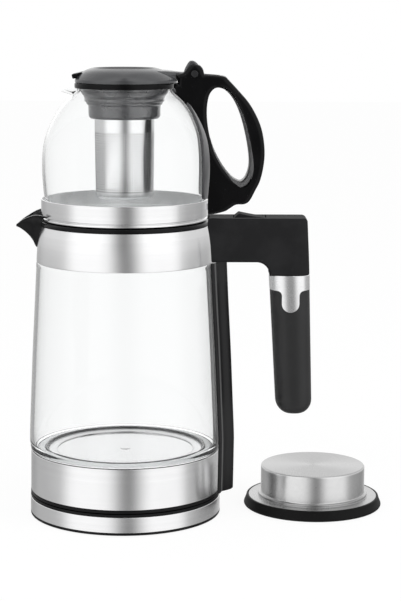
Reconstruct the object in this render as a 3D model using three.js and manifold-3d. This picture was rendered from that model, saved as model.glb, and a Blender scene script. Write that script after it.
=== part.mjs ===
// An electric tea kettle on its power base, a glass teapot that stands in the kettle's mouth,
// and the kettle's own lid beside them. Millimetres, +Z up. The origin is on the kettle's axis
// at table level, the handles point along +X and the spout along -X.
import * as THREE from 'three';
import { mergeVertices } from 'three/addons/utils/BufferGeometryUtils.js';
import Module from 'manifold-3d';

const wasm = await Module();
wasm.setup();

// Fits and resolution
const CLEARANCE = 0.3; // between fixed neighbours
const CUT_OVERRUN = 4; // how far a cutter runs past what it cuts
const MERGE_DISTANCE = 1e-4;
const ROUND_STEPS = 36;
const CONNECTOR_STEPS = 24;
const SMALL_ROUND_STEPS = 16;
const GRIP_STEPS = 20;
const CURVE_STEPS = 6; // along each arc of an outline
const TUBE_STEPS = 8;
const TUBE_LENGTH_STEPS = 24;

// Power base
const BASE_RADIUS = 77.5;
const BASE_HEIGHT = 17.2;
const BASE_RIM_HEIGHT = 2.1; // black rim of the deck above the steel band
const BASE_RIM_SETBACK = 0.2;
const BAND_SHEET = 0.8; // steel sheet of every band
const SHELL_WALL = 2;
const DECK_THICKNESS = 2.2;
const PLATE_THICKNESS = 3;
const PLATE_RIM_THICKNESS = 1.5;
const FOOT_COUNT = 4;
const FOOT_RADIUS = 6;
const FOOT_PROUD = 0.5;
const FOOT_SUNK = 1.7;
const FOOT_INSET = 15; // foot centre in from the rim
const BASE_SCREW_COUNT = 3;
const BASE_SCREW_CIRCLE = 40;
const BOSS_WALL = 2.6;

// Screws, one size throughout
const SCREW_RADIUS = 1.5;
const SCREW_HEAD_RADIUS = 3;
const SCREW_HEAD_THICKNESS = 1.8;
const SCREW_LENGTH = 9;
const SCREW_RECESS = 0.2;

// Round connector in the middle of the base, and its contacts
const CONNECTOR_RADIUS = 13;
const CONNECTOR_PROUD = 7.8;
const CONNECTOR_DEPTH = 16; // whole height
const CONNECTOR_FLANGE_WIDTH = 5;
const CONNECTOR_FLANGE_THICKNESS = 2.5;
const PIN_RADIUS = 2;
const PIN_ENGAGED = 11; // how deep the kettle's pin reaches into the base
const CONTACT_RING_RADIUS = 8;
const CONTACT_RING_WALL = 1;
const CONTACT_RING_ENGAGED = 9;
const CONTACT_SLEEVE_WALL = 1;
const CONTACT_SLEEVE_SETBACK = 2; // sleeves end below the connector's top
const DOCK_CLEARANCE = 0.4; // pin to sleeve, ring to sleeve
const SOCKET_CLEARANCE = 0.6;

// Where the mains lead would enter, at the back, and the block it is wired to
const GLAND_RADIUS = 4.6;
const GLAND_BORE_RADIUS = 3.2;
const GLAND_FLANGE_WIDTH = 1.4;
const GLAND_FLANGE_THICKNESS = 1.6;
const GLAND_INSIDE_LENGTH = 6;
const TERMINAL_LENGTH = 18;
const TERMINAL_DEPTH = 12;
const TERMINAL_HEIGHT = 7;
const TERMINAL_FROM_GLAND = 18.7; // block's middle in from the gland's inner end

// Kettle body, from its underside up
const KETTLE_RIM_SETBACK = 0.3; // rim of the cover in from the base's band
const KETTLE_RIM_HEIGHT = 2.6;
const UPSTAND_HEIGHT = 4;
const LOWER_BAND_SETBACK = 0.1; // band in from the cover's rim
const LOWER_BAND_DRAFT = 0.4; // how much narrower its top is
const LOWER_BAND_HEIGHT = 32.9;
const KETTLE_CONNECTOR_HEIGHT = 13;
const KETTLE_CONNECTOR_WALL = 3.4;
const KETTLE_CONNECTOR_FLANGE = 5;
const KETTLE_CONNECTOR_FLANGE_THICKNESS = 2;
const SOCKET_HEADROOM = 1;
const PIN_ROOT = 5; // length of pin and ring held in the connector
const COVER_HOLE_CLEARANCE = 3;
const CONTROL_LENGTH = 36;
const CONTROL_DEPTH = 26;
const CONTROL_HEIGHT = 9;
const ELEMENT_INSET = 20.3; // tube's centre line in from the plate's edge
const ELEMENT_TUBE_RADIUS = 4;
const ELEMENT_TURN = Math.PI * 1.7;
const SEAT_SEAL_WIDTH = 10.8; // from the heating plate to the inside of the glass
const HEATER_THICKNESS = 3;
const HEATER_RIM_WIDTH = 9.3;
const HEATER_DISH_DEPTH = 1;
const HEATER_DISH_SLOPE = 1.5;
const SEAT_SEAL_THICKNESS = 3.6;
const SEAT_SEAL_LIP = 1.4;
const CARRIER_LEDGE_WIDTH = 17.6;
const CARRIER_LEDGE_THICKNESS = 2.2;

// Kettle glass
const KETTLE_GLASS_WALL = 3;
const GLASS_HEIGHT = 160.1;
const GLASS_BELLY_PROUD = 1; // belly out from the band's top
const GLASS_BELLY_HEIGHT = 11.6; // above the glass's lower edge
const GLASS_FOOT_PROUD = 0.7; // where the wall starts to swell
const GLASS_FOOT_HEIGHT = 3.9;
const GLASS_TAPER = 5.7; // shoulder in from the band's top
const GLASS_NECK_HEIGHT = 6.5; // the part that the collar covers
const GLASS_NECK_SETBACK = 1.6;
const GLASS_NECK_TAPER = 0.5;
const GLASS_SHOULDER_HEIGHT = 2;

// Steel collar, its lining with the black rim, and the spout
const COLLAR_SETBACK = 0.1; // collar in from the glass's shoulder
const COLLAR_MIDDLE_TAPER = 0.9;
const COLLAR_TAPER = 3.2;
const COLLAR_HEIGHT = 29.7;
const RIM_PROUD = 0.1; // black rim out from the collar's top
const RIM_THICKNESS = 3;
const MOUTH_SHELF = 8; // shelf that the teapot stands on
const LINER_SETBACK = 1.8; // lining in from the rim
const LINER_WALL = 2.2;
const TOP_SEAL_THICKNESS = 1.4;
const TOP_SEAL_WIDTH = 2.7;
const SPOUT_PROUD = 19.2; // tip out from the rim
const SPOUT_DROP = 27.1; // from the spout's highest rim down to its keel at the collar
const SPOUT_RIM_RISE = 4.8; // highest rim above the black rim
const SPOUT_TIP_DROP = 4; // tip below the black rim
const SPOUT_TIP_DEPTH = 1.6;
const SPOUT_TIP_HALF_WIDTH = 1.2;
const SPOUT_WALL = 1.8;
const SPOUT_ROOT_INSET = 5; // how far the beak starts inside the lining
const FILTER_THICKNESS = 0.6;
const FILTER_HALF_WIDTH = 22;
const FILTER_HEIGHT = 17;

// Kettle handle
const ARM_HALF_WIDTH = 16;
const ARM_ABOVE_RIM = 3;
const ARM_DEPTH = 35.3;
const ARM_EDGE = 2.5;
const ARM_CORNER_RADIUS = 3.2;
const ARM_INNER_CORNER_RADIUS = 10.5;
const GRIP_REACH = 61.5; // collar to the middle of the grip's top
const GRIP_RAKE = 5; // how far the grip's foot swings out
const GRIP_TOP_HALF_LENGTH = 16.3;
const GRIP_DRAFT = 1.7; // how much less that is at its foot
const GRIP_HALF_WIDTH = 15;
const LEG_LENGTH = 11.3; // arm's underside down to the steel ring
const GRIP_LENGTH = 114.2;
const GRIP_END_ROUND = 12;
const GRIP_SQUARENESS = 0.82; // power of the section's rounding, 1 is an ellipse
const HANDLE_RING_HEIGHT = 12;
const HANDLE_RING_WALL = 1.8;
const TONGUE_LENGTH = 17.2;
const TONGUE_HALF_WIDTH = 6.9;
const CORE_RADIUS = 3.5;
const CORE_BELOW_GRIP = 92;
const CORE_ABOVE_GRIP = 34;
const SPINE_BOTTOM = 0.8;
const SPINE_HALF_WIDTH = 20;
const SPINE_FLANGE = 3;
const SPINE_RIB_HALF_WIDTH = 10;
const SPINE_RIB_PROUD = 10.6;
const SPINE_GAP = 0.5;
const SPINE_END_ROUND = 4;
const HANDLE_SCREW_SPREAD = 9;
const HANDLE_SCREW_REACH = 14;
const HANDLE_SCREW_HEIGHT = 17; // above the collar's lower edge
const SPINE_SCREW_HEIGHT = 20;

// Power lever on the arm, with its pin and the switch below it
const LEVER_FROM_COLLAR = 16.9;
const LEVER_LENGTH = 25;
const LEVER_HALF_WIDTH = 9;
const LEVER_RISE = 3.3;
const LEVER_PEAK_FROM_START = 3.5;
const LEVER_START_RISE = 1.2;
const LEVER_MIDDLE_RISE = 0.9;
const LEVER_MIDDLE_FROM_START = 16.3;
const LEVER_END_RISE = 0.1;
const LEVER_BODY_DEPTH = 6.5;
const LEVER_CLEARANCE = 0.8;
const LEVER_PIN_RADIUS = 1.5;
const LEVER_PIN_FROM_END = 3.5;
const LEVER_PIN_DEPTH = 3.9;
const LEVER_PIN_OVERHANG = 3; // held in the arm on each side
const SWITCH_LENGTH = 16;
const SWITCH_HALF_WIDTH = 6;
const SWITCH_HEIGHT = 8;
const SWITCH_TRAVEL_ROOM = 2.6;

// Teapot, from the underside of its steel cup up
const CUP_SETBACK = 1; // cup in from the kettle's black rim
const CUP_HEIGHT = 17.3;
const CUP_SHEET = 0.9;
const CUP_STEP_HEIGHT = 3.9;
const CUP_FLANGE_SETBACK = 1;
const CUP_FLANGE_EDGE = 0.8; // height at which the flange is widest
const CUP_FLANGE_HEIGHT = 2;
const CUP_NECK_SETBACK = 1.8;
const CUP_FOOT_SETBACK = 2.5;
const FOOT_RING_WIDTH = 7;
const FOOT_RING_HEIGHT = 6.7;
const MOUTH_CLEARANCE = 0.8;
const TEAPOT_GLASS_SETBACK = 1; // bowl in from the cup
const TEAPOT_GLASS_HEIGHT = 103.4;
const TEAPOT_GLASS_WALL = 2.2;
const LIP_PROUD = 11.8; // pouring lip out from the neck
const LIP_HALF_WIDTH = 10;
const LIP_DEPTH = 6;
const LIP_WALL = 1.8;
const RIM_RING_PROUD = 1.4; // black ring out from the neck
const RIM_RING_HEIGHT = 4;
const NECK_CLEARANCE = 0.6;

// Infuser
const INFUSER_FLANGE_SETBACK = 2.6; // in from the black ring
const INFUSER_FLANGE_THICKNESS = 1;
const INFUSER_WALL = 1.8;
const INFUSER_DEPTH = 28.3; // underside of the flange to the collar's lower edge
const INFUSER_LOWER_SETBACK = 8.3; // in from the flange
const INFUSER_LOWER_DROP = 18.1; // drops are from the flange's underside
const INFUSER_THROAT_DROP = 17;
const INFUSER_WAIST_SETBACK = 4.7;
const INFUSER_WAIST_DROP = 11.9;
const INFUSER_FUNNEL_DROP = 4;
const BASKET_DRAFT = 0.8; // how much narrower its foot is
const BASKET_SHEET = 0.6;
const BASKET_ABOVE_FLOOR = 14.2; // basket's foot above the floor of the glass
const BASKET_FLANGE_WIDTH = 2.2;
const BASKET_FLANGE_THICKNESS = 0.8;
const BASKET_SIDE_CLEARANCE = 0.8; // flange to the infuser collar
const BASKET_CORNER = 2;

// Teapot lid and its hinge
const LID_SETBACK = 0.4; // lid in from the black ring
const LID_SKIRT_HEIGHT = 1.6;
const LID_SKIRT_WALL = 1.3;
const LID_HEIGHT = 11.6;
const LID_SHELL = 2.2;
const LID_COVER_THICKNESS = 1.3;
const LID_COVER_SETBACK = 4.8;
const LID_ARM_HALF_WIDTH = 5.6;
const LID_ARM_THICKNESS = 6.5;
const LID_ARM_DROP = 2.8; // arm's underside below the pin's centre
const LID_ARM_INSET = 10.2; // how far it starts inside the lid's edge
const LUG_ROOT_FROM_PIN = 8.7;
const TAB_RISE = 4.4; // above the lid's lower edge
const TAB_INSET = 7.8; // how far it reaches over the lid
const TAB_PROUD = 2.3;
const TAB_HALF_WIDTH = 9;
const TAB_THICKNESS = 3.6;
const HINGE_FROM_RING = 16; // pin's centre out from the black ring
const HINGE_ABOVE_RIM = 7.6; // pin's centre above the rim ring
const HINGE_PIN_RADIUS = 1.5;
const HINGE_PIN_HEAD_RADIUS = 2.7;
const HINGE_PIN_HEAD_THICKNESS = 0.8;
const KNUCKLE_RADIUS = 5.8;
const LUG_HEIGHT = 10.1; // thumb lug above the pin's centre
const EAR_HEIGHT = 7.8; // ears above the pin's centre
const HINGE_SIDE_CLEARANCE = 0.4;

// Teapot handle
const TEAPOT_HANDLE_PROUD = 45.7; // out from the bowl
const HANDLE_TOP_DROP = 0.7; // below the pin's centre
const TEAPOT_HANDLE_HALF_WIDTH = 9.5;
const TEAPOT_HANDLE_EDGE = 2.2;
const HANDLE_SLOT_FRONT = 9.3; // in front of the pin
const HANDLE_SLOT_LENGTH = 19.9; // behind the pin
const HANDLE_SLOT_DEPTH = 6.4; // below the pin's centre
const SADDLE_THICKNESS = 2.8;
const SADDLE_HALF_WIDTH = 25;
const BRACKET_LENGTH = 6;
const BRACKET_HALF_WIDTH = 5;
const BRACKET_HEIGHT = 5;
const BRACKET_RISE = 8.4;

// Kettle lid, standing on the table
const LOOSE_LID_FROM_BASE = 77.4; // edge of the base to the lid's axis
const LOOSE_LID_Y = 18.4;
const LOOSE_LID_HEIGHT = 33.8;
const LOOSE_LID_FLANGE_WIDTH = 10.1;
const LOOSE_LID_EDGE = 1.4;
const LOOSE_LID_SHEET = 1;
const LOOSE_LID_STEP_WIDTH = 2.2;
const LOOSE_LID_STEP_HEIGHT = 2.4;
const LOOSE_LID_FLANGE_HEIGHT = 8.6;
const LID_SEAL_CLEARANCE = 0.9; // seal in from the kettle's mouth
const LID_SEAL_TOP_WIDTH = 1.3;
const LID_SEAL_FLARE = 2.5; // sole wider than the top
const LID_SEAL_SOLE = 1.5; // height at which the seal is widest
const LID_SEAL_FOOT_WIDTH = 7;
const LID_DISC_RISE = 2;
const LID_DISC_THICKNESS = 1.2;

// Outlines, as shares of the sizes they follow
// Teapot glass: radius over bowlRadius, height over TEAPOT_GLASS_HEIGHT
const teapotGlassShares = [
  [0.8, 0], [0.92, 0.035], [0.967, 0.12], [0.993, 0.27], [1, 0.405], [0.99, 0.52], [0.961, 0.62],
  [0.902, 0.72], [0.81, 0.828], [0.69, 0.923], [0.602, 0.968], [0.58, 1],
];
// Teapot handle: x over handleReach, height over handleTop
const teapotHandleShares = [
  [0.52, 0.035], [0.655, 0.04], [0.72, 0.06], [0.757, 0.086], [0.8, 0.11], [0.855, 0.113], [0.896, 0.138],
  [0.934, 0.205], [0.97, 0.28], [0.993, 0.38], [1, 0.485], [0.985, 0.6], [0.951, 0.697], [0.893, 0.8],
  [0.822, 0.881], [0.743, 0.962], [0.713, 0.99], [0.67, 1], [0.565, 1],
];
const teapotHandleHeadShares = [[0.422, 0.978], [0.368, 0.978], [0.362, 0.86], [0.4, 0.76], [0.4, 0.4]];
const teapotHandleHoleShares = [
  [0.672, 0.911], [0.63, 0.896], [0.6, 0.845], [0.587, 0.745], [0.599, 0.62], [0.633, 0.5], [0.69, 0.393],
  [0.755, 0.31], [0.798, 0.28], [0.834, 0.273], [0.869, 0.31], [0.89, 0.395], [0.878, 0.518],
  [0.838, 0.69], [0.787, 0.812], [0.729, 0.888],
];
// Saddle on the glass: half width over SADDLE_HALF_WIDTH, height over handleTop
const saddleShares = [
  [0.8, 0.165], [0.9, 0.2], [0.98, 0.3], [1, 0.4], [0.98, 0.5], [0.78, 0.62], [0.6, 0.71], [0.4, 0.78],
  [0.3, 0.84], [0.42, 0.905],
];
// Infuser collar: drop from the flange's underside over INFUSER_DEPTH, radius over the flange's radius
const infuserShares = [
  [0.955, 0.14], [0.951, 0.19], [0.85, 0.46], [0.862, 0.485], [0.855, 0.52], [0.822, 0.548], [0.816, 0.59],
];
// Spine: places across its back, and the rib's side as proud over SPINE_RIB_PROUD, half width over
// the rib's, and how much of the end's draw it takes
const spineBackShares = [-1, -0.75, -0.5, -0.25, 0, 0.25, 0.5, 0.75, 1];
const SPINE_RIB_FOOT_SHARE = 1.15;
const spineRibShares = [[0.72, 1, 0.5], [0.94, 0.6, 1], [1, 0.2, 1]];
// Arm's rounded end seen from above, as shares of a full turn from +X
const armEndTurns = [-6, -5, -4, -3, -2, -1, 0, 1, 2, 3, 4, 5, 6].map((step) => step / 24);
// Grip's rounded end: quarter turn at each section, and how far the sections draw in
const gripEndShares = [0.15, 0.5, 0.8, 1];
const GRIP_END_DRAW_SHARE = 0.9;
// Beak sections: half width over the rim's, rise from keel to rim
const spoutSideShares = [
  [0, 0], [0.16, 0.03], [0.26, 0.12], [0.34, 0.3], [0.4, 0.5], [0.5, 0.7], [0.7, 0.87], [1, 1],
];
const lipSideShares = [[0, 0], [0.25, 0.18], [0.53, 0.45], [0.79, 0.75], [1, 1]];
const BEAK_TIP_LEAN_SHARE = 1.5; // how far the channel starts behind the tip, over the wall
const BEAK_TIP_LEAST_SHARE = 0.25; // narrowest half width over the tip's
// Spout and lip from tip to root: share of the length, how far the keel is down and the rim up
const spoutLineShares = [
  [0, 0, 0], [0.08, 0.045, 0.19], [0.18, 0.145, 0.43], [0.3, 0.29, 0.66], [0.42, 0.48, 0.82], [0.52, 0.7, 0.91],
  [0.62, 1, 0.97], [0.8, 1, 1], [1, 1, 1],
];
const lipLineShares = [
  [0, 0, 0], [0.18, 0.13, 0.36], [0.4, 0.28, 0.7], [0.66, 0.48, 0.92], [0.85, 0.74, 1], [1, 1, 1],
];
// Lid's top from its skirt to the middle of its dish: radius over lidRadius, height over LID_HEIGHT
const lidShares = [
  [0.98, 0.27], [0.92, 0.48], [0.81, 0.92], [0.76, 1], [0.72, 0.96], [0.66, 0.78], [0.54, 0.66], [0, 0.61],
];
// Lid lug round the pin: x over KNUCKLE_RADIUS, height over LUG_HEIGHT
const lugShares = [
  [1, 0.12], [0.72, 0.46], [0.2, 0.8], [-0.18, 0.99], [-0.6, 1], [-1.15, 0.73], [-1.45, 0.36],
];
// Knuckle's underside, as shares of a full turn from +X
const knuckleTurns = [7 / 12, 8 / 12, 9 / 12, 10 / 12, 11 / 12, 1];
// Ears on the handle: x over KNUCKLE_RADIUS, height over EAR_HEIGHT
const earShares = [
  [1.02, 0.15], [0.84, 0.52], [0.35, 0.88], [-0.3, 1], [-0.85, 0.86], [-1.2, 0.45], [-1.3, 0],
];

// A closed three.js geometry as a solid that can be joined and cut
function solid(geometry) {
  const bare = geometry.index ? geometry.toNonIndexed() : geometry.clone();
  bare.deleteAttribute('normal');
  bare.deleteAttribute('uv');
  const merged = mergeVertices(bare, MERGE_DISTANCE);
  const corners = merged.index.array;
  const kept = [];
  for (let i = 0; i < corners.length; i += 3) {
    const [a, b, c] = [corners[i], corners[i + 1], corners[i + 2]];
    if (a !== b && b !== c && c !== a) kept.push(a, b, c);
  }
  const vertProperties = new Float32Array(merged.attributes.position.array);
  const body = new wasm.Manifold(
    new wasm.Mesh({ numProp: 3, vertProperties, triVerts: new Uint32Array(kept) }),
  );
  if (body.volume() > 0) return body;
  const turnedRound = new Uint32Array(kept).reverse();
  return new wasm.Manifold(new wasm.Mesh({ numProp: 3, vertProperties, triVerts: turnedRound }));
}

// A profile of [radius, height] points turned about Z. It starts and ends on the axis, or is closed here.
function turned(profile, steps = ROUND_STEPS) {
  const points = profile.map(([radius, height]) => new THREE.Vector2(radius, height));
  const onAxis = profile[0][0] === 0 && profile[profile.length - 1][0] === 0;
  if (!onAxis) points.push(points[0].clone());
  return solid(new THREE.LatheGeometry(points, steps).rotateX(Math.PI / 2));
}

// A ring with a rectangular section
function ring(inner, outer, bottom, top, steps = ROUND_STEPS) {
  return turned([[inner, bottom], [outer, bottom], [outer, top], [inner, top]], steps);
}

// A cylinder along Z
function disc(radius, bottom, top, steps = ROUND_STEPS) {
  return turned([[0, bottom], [radius, bottom], [radius, top], [0, top]], steps);
}

// A box between two corners
function block([x0, y0, z0], [x1, y1, z1]) {
  const box = new THREE.BoxGeometry(x1 - x0, y1 - y0, z1 - z0);
  return solid(box.translate((x0 + x1) / 2, (y0 + y1) / 2, (z0 + z1) / 2));
}

// An outline in x and z, given a thickness along y
function plate(outline, halfWidth, { hole, edge = 0, edgeSteps = 2 } = {}) {
  const shape = outline instanceof THREE.Shape ? outline : new THREE.Shape(outline);
  if (hole) shape.holes.push(new THREE.Path(hole));
  const depth = 2 * (halfWidth - edge);
  const settings = { depth, steps: 1, bevelEnabled: edge > 0, bevelThickness: edge, bevelSize: edge };
  settings.bevelOffset = -edge;
  settings.bevelSegments = edgeSteps;
  settings.curveSegments = CURVE_STEPS;
  return solid(new THREE.ExtrudeGeometry(shape, settings).rotateX(Math.PI / 2).translate(0, depth / 2, 0));
}

// A closed skin over rings of [x, y, z] points, all with as many points
function lofted(rings) {
  const count = rings[0].length;
  const middle = (points) => [0, 1, 2].map((axis) => points.reduce((sum, p) => sum + p[axis], 0) / count);
  const corners = [];
  for (let i = 0; i + 1 < rings.length; i++) {
    for (let j = 0; j < count; j++) {
      const next = (j + 1) % count;
      corners.push(rings[i][j], rings[i][next], rings[i + 1][next]);
      corners.push(rings[i][j], rings[i + 1][next], rings[i + 1][j]);
    }
  }
  const [first, last] = [rings[0], rings[rings.length - 1]];
  for (let j = 0; j < count; j++) {
    const next = (j + 1) % count;
    corners.push(middle(first), first[next], first[j]);
    corners.push(middle(last), last[j], last[next]);
  }
  const position = new THREE.Float32BufferAttribute(corners.flat(), 3);
  return solid(new THREE.BufferGeometry().setAttribute('position', position));
}

// The same solid pointing along X or Y instead of Z
const alongX = (body) => body.rotate([0, 90, 0]);
const alongY = (body) => body.rotate([-90, 0, 0]);

// A straight-line reading of a table of [position, value] pairs
function reading(table, position) {
  const after = table.findIndex(([at]) => at >= position);
  if (after <= 0) return after === 0 ? table[0][1] : table[table.length - 1][1];
  const [[p0, v0], [p1, v1]] = [table[after - 1], table[after]];
  return v0 + ((v1 - v0) * (position - p0)) / (p1 - p0);
}

// A wall's inner profile: the outer one moved in by its thickness, square to the curve
function movedIn(profile, wall) {
  return profile.map(([radius, height], i) => {
    const [r0, h0] = profile[Math.max(i - 1, 0)];
    const [r1, h1] = profile[Math.min(i + 1, profile.length - 1)];
    const length = Math.hypot(r1 - r0, h1 - h0);
    return [radius - (wall * (h1 - h0)) / length, height + (wall * (r1 - r0)) / length];
  });
}

// Materials
const finish = (color, roughness, metalness, opacity = 1) =>
  new THREE.MeshStandardMaterial({ color, roughness, metalness, opacity, transparent: opacity < 1 });
const BRUSHED_STEEL = finish(0xc9cacc, 0.32, 1);
const PERFORATED_STEEL = finish(0xbfc1c4, 0.35, 1);
const ZINC_STEEL = finish(0xa9abad, 0.45, 1);
const BRASS = finish(0xb79a53, 0.35, 1);
const SATIN_BLACK = finish(0x1c1c1e, 0.45, 0);
const GLOSS_BLACK = finish(0x121214, 0.25, 0);
const LID_GREY = finish(0x4b4c4f, 0.4, 0);
const INFUSER_GREY = finish(0x6a6b6e, 0.4, 0);
const RUBBER_BLACK = finish(0x141414, 0.8, 0);
const CLEAR_SILICONE = finish(0xe6e8ea, 0.5, 0, 0.8);
const CLEAR_GLASS = finish(0xf4f8f8, 0.03, 0, 0.3);
const WHITE_PLASTIC = finish(0xdcdcd8, 0.5, 0);
const DARK_METAL = finish(0x5a5a5c, 0.5, 1);

// Groups that hold the meshes, each in the frame of what it belongs to
const kettleBottom = BASE_HEIGHT + CLEARANCE;
const object = new THREE.Group();
const base = new THREE.Group();
const kettle = new THREE.Group();
const teapot = new THREE.Group();
const looseLid = new THREE.Group();
object.add(base, kettle, teapot, looseLid);

// A finished solid as a named mesh in a group
function add(group, name, material, body) {
  const { vertProperties, triVerts } = body.getMesh();
  const geometry = new THREE.BufferGeometry();
  geometry.setAttribute('position', new THREE.BufferAttribute(vertProperties, 3));
  geometry.setIndex(new THREE.BufferAttribute(triVerts, 1));
  geometry.computeVertexNormals();
  const mesh = new THREE.Mesh(geometry, material);
  mesh.name = name;
  group.add(mesh);
  return mesh;
}

// Radii from the power base up, each in or out from the one before
const kettleRimRadius = BASE_RADIUS - KETTLE_RIM_SETBACK;
const lowerBandRadius = kettleRimRadius - LOWER_BAND_SETBACK;
const bandTopRadius = lowerBandRadius - LOWER_BAND_DRAFT;
const sealLipRadius = bandTopRadius - KETTLE_GLASS_WALL - CLEARANCE;
const heaterRadius = sealLipRadius - SEAT_SEAL_WIDTH - CLEARANCE;
const bellyRadius = bandTopRadius + GLASS_BELLY_PROUD;
const shoulderRadius = bandTopRadius - GLASS_TAPER;
const collarRadius = shoulderRadius - COLLAR_SETBACK;
const collarTopRadius = collarRadius - COLLAR_TAPER;
const rimRadius = collarTopRadius + RIM_PROUD;
const linerRadius = rimRadius - LINER_SETBACK;
const mouthRadius = linerRadius - MOUTH_SHELF;
const spoutReach = rimRadius + SPOUT_PROUD;
const cupRadius = rimRadius - CUP_SETBACK;
const bowlRadius = cupRadius - TEAPOT_GLASS_SETBACK;

// Power base: plate, feet and screws
const plateBottom = FOOT_PROUD;
const plateRimTop = plateBottom + PLATE_RIM_THICKNESS;
const plateTop = plateBottom + PLATE_THICKNESS;
const bandInner = BASE_RADIUS - BAND_SHEET;
const skirtOuter = bandInner - CLEARANCE;
const skirtInner = skirtOuter - SHELL_WALL;
const footCircle = BASE_RADIUS - FOOT_INSET;
const screwBottom = plateBottom + SCREW_RECESS;
const screwHeadTop = screwBottom + SCREW_HEAD_THICKNESS;
const screwTop = screwHeadTop + SCREW_LENGTH;
const screwHole = SCREW_RADIUS + CLEARANCE;

function around(count, radius, turn = 0) {
  return Array.from({ length: count }, (_, i) => {
    const angle = turn + (2 * Math.PI * i) / count;
    return [radius * Math.cos(angle), radius * Math.sin(angle)];
  });
}
const footPlaces = around(FOOT_COUNT, footCircle, Math.PI / 4);
const baseScrewPlaces = around(BASE_SCREW_COUNT, BASE_SCREW_CIRCLE, Math.PI / 6);

const footHeight = FOOT_PROUD + FOOT_SUNK;
const footPocket = disc(FOOT_RADIUS + CLEARANCE, 0, footHeight + CLEARANCE, SMALL_ROUND_STEPS);
const screwPocket = disc(SCREW_HEAD_RADIUS + CLEARANCE, 0, screwHeadTop + CLEARANCE, SMALL_ROUND_STEPS).add(
  disc(screwHole, 0, screwTop + CLEARANCE, SMALL_ROUND_STEPS),
);
const stepRadius = skirtInner - CLEARANCE;
let bottomPlate = turned([
  [0, plateBottom], [BASE_RADIUS, plateBottom], [BASE_RADIUS, plateRimTop],
  [stepRadius, plateRimTop], [stepRadius, plateTop], [0, plateTop],
]);
for (const [x, y] of footPlaces) bottomPlate = bottomPlate.subtract(footPocket.translate([x, y, 0]));
for (const [x, y] of baseScrewPlaces) bottomPlate = bottomPlate.subtract(screwPocket.translate([x, y, 0]));
add(base, 'base_bottom_plate', SATIN_BLACK, bottomPlate);

footPlaces.forEach(([x, y], i) => {
  const body = disc(FOOT_RADIUS, 0, footHeight, SMALL_ROUND_STEPS);
  add(base, `base_foot_${i + 1}`, RUBBER_BLACK, body).position.set(x, y, 0);
});
baseScrewPlaces.forEach(([x, y], i) => {
  const body = turned([
    [0, screwBottom], [SCREW_HEAD_RADIUS, screwBottom], [SCREW_HEAD_RADIUS, screwHeadTop],
    [SCREW_RADIUS, screwHeadTop], [SCREW_RADIUS, screwTop], [0, screwTop],
  ], SMALL_ROUND_STEPS);
  add(base, `base_screw_${i + 1}`, ZINC_STEEL, body).position.set(x, y, 0);
});

// Power base: steel band and deck, with the opening for the mains lead at the back
const deckRimBottom = BASE_HEIGHT - BASE_RIM_HEIGHT;
const baseBandBottom = plateRimTop + CLEARANCE;
const baseBandTop = deckRimBottom - CLEARANCE;
const glandHeight = (baseBandBottom + baseBandTop) / 2;
const glandInner = bandInner - GLAND_INSIDE_LENGTH;
const glandHole = alongY(
  disc(GLAND_RADIUS + CLEARANCE, glandInner - CUT_OVERRUN, BASE_RADIUS + CUT_OVERRUN, SMALL_ROUND_STEPS),
).translate([0, 0, glandHeight]);
add(base, 'base_steel_band', BRUSHED_STEEL,
  ring(bandInner, BASE_RADIUS, baseBandBottom, baseBandTop).subtract(glandHole));

const connectorHole = CONNECTOR_RADIUS + CLEARANCE;
const deckBottom = BASE_HEIGHT - DECK_THICKNESS;
const deckRimRadius = BASE_RADIUS - BASE_RIM_SETBACK;
let deck = turned([
  [connectorHole, BASE_HEIGHT], [connectorHole, deckBottom], [skirtInner, deckBottom],
  [skirtInner, baseBandBottom], [skirtOuter, baseBandBottom], [skirtOuter, deckRimBottom],
  [deckRimRadius, deckRimBottom], [deckRimRadius, BASE_HEIGHT],
]);
const bossBottom = plateTop + CLEARANCE;
for (const [x, y] of baseScrewPlaces) {
  const boss = disc(screwHole + BOSS_WALL, bossBottom, BASE_HEIGHT - DECK_THICKNESS / 2, SMALL_ROUND_STEPS);
  deck = deck.add(boss.translate([x, y, 0])).subtract(screwPocket.translate([x, y, 0]));
}
add(base, 'base_top_housing', SATIN_BLACK, deck.subtract(glandHole));

const glandOuter = BASE_RADIUS + CLEARANCE;
add(base, 'base_cord_gland', RUBBER_BLACK, alongY(turned([
  [GLAND_BORE_RADIUS, glandInner], [GLAND_RADIUS, glandInner], [GLAND_RADIUS, glandOuter],
  [GLAND_RADIUS + GLAND_FLANGE_WIDTH, glandOuter],
  [GLAND_RADIUS + GLAND_FLANGE_WIDTH, glandOuter + GLAND_FLANGE_THICKNESS],
  [GLAND_BORE_RADIUS, glandOuter + GLAND_FLANGE_THICKNESS],
], SMALL_ROUND_STEPS)).translate([0, 0, glandHeight]));
const terminalY = glandInner - TERMINAL_FROM_GLAND;
add(base, 'base_terminal_block', WHITE_PLASTIC, block(
  [-TERMINAL_LENGTH / 2, terminalY - TERMINAL_DEPTH / 2, bossBottom],
  [TERMINAL_LENGTH / 2, terminalY + TERMINAL_DEPTH / 2, bossBottom + TERMINAL_HEIGHT],
));

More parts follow.
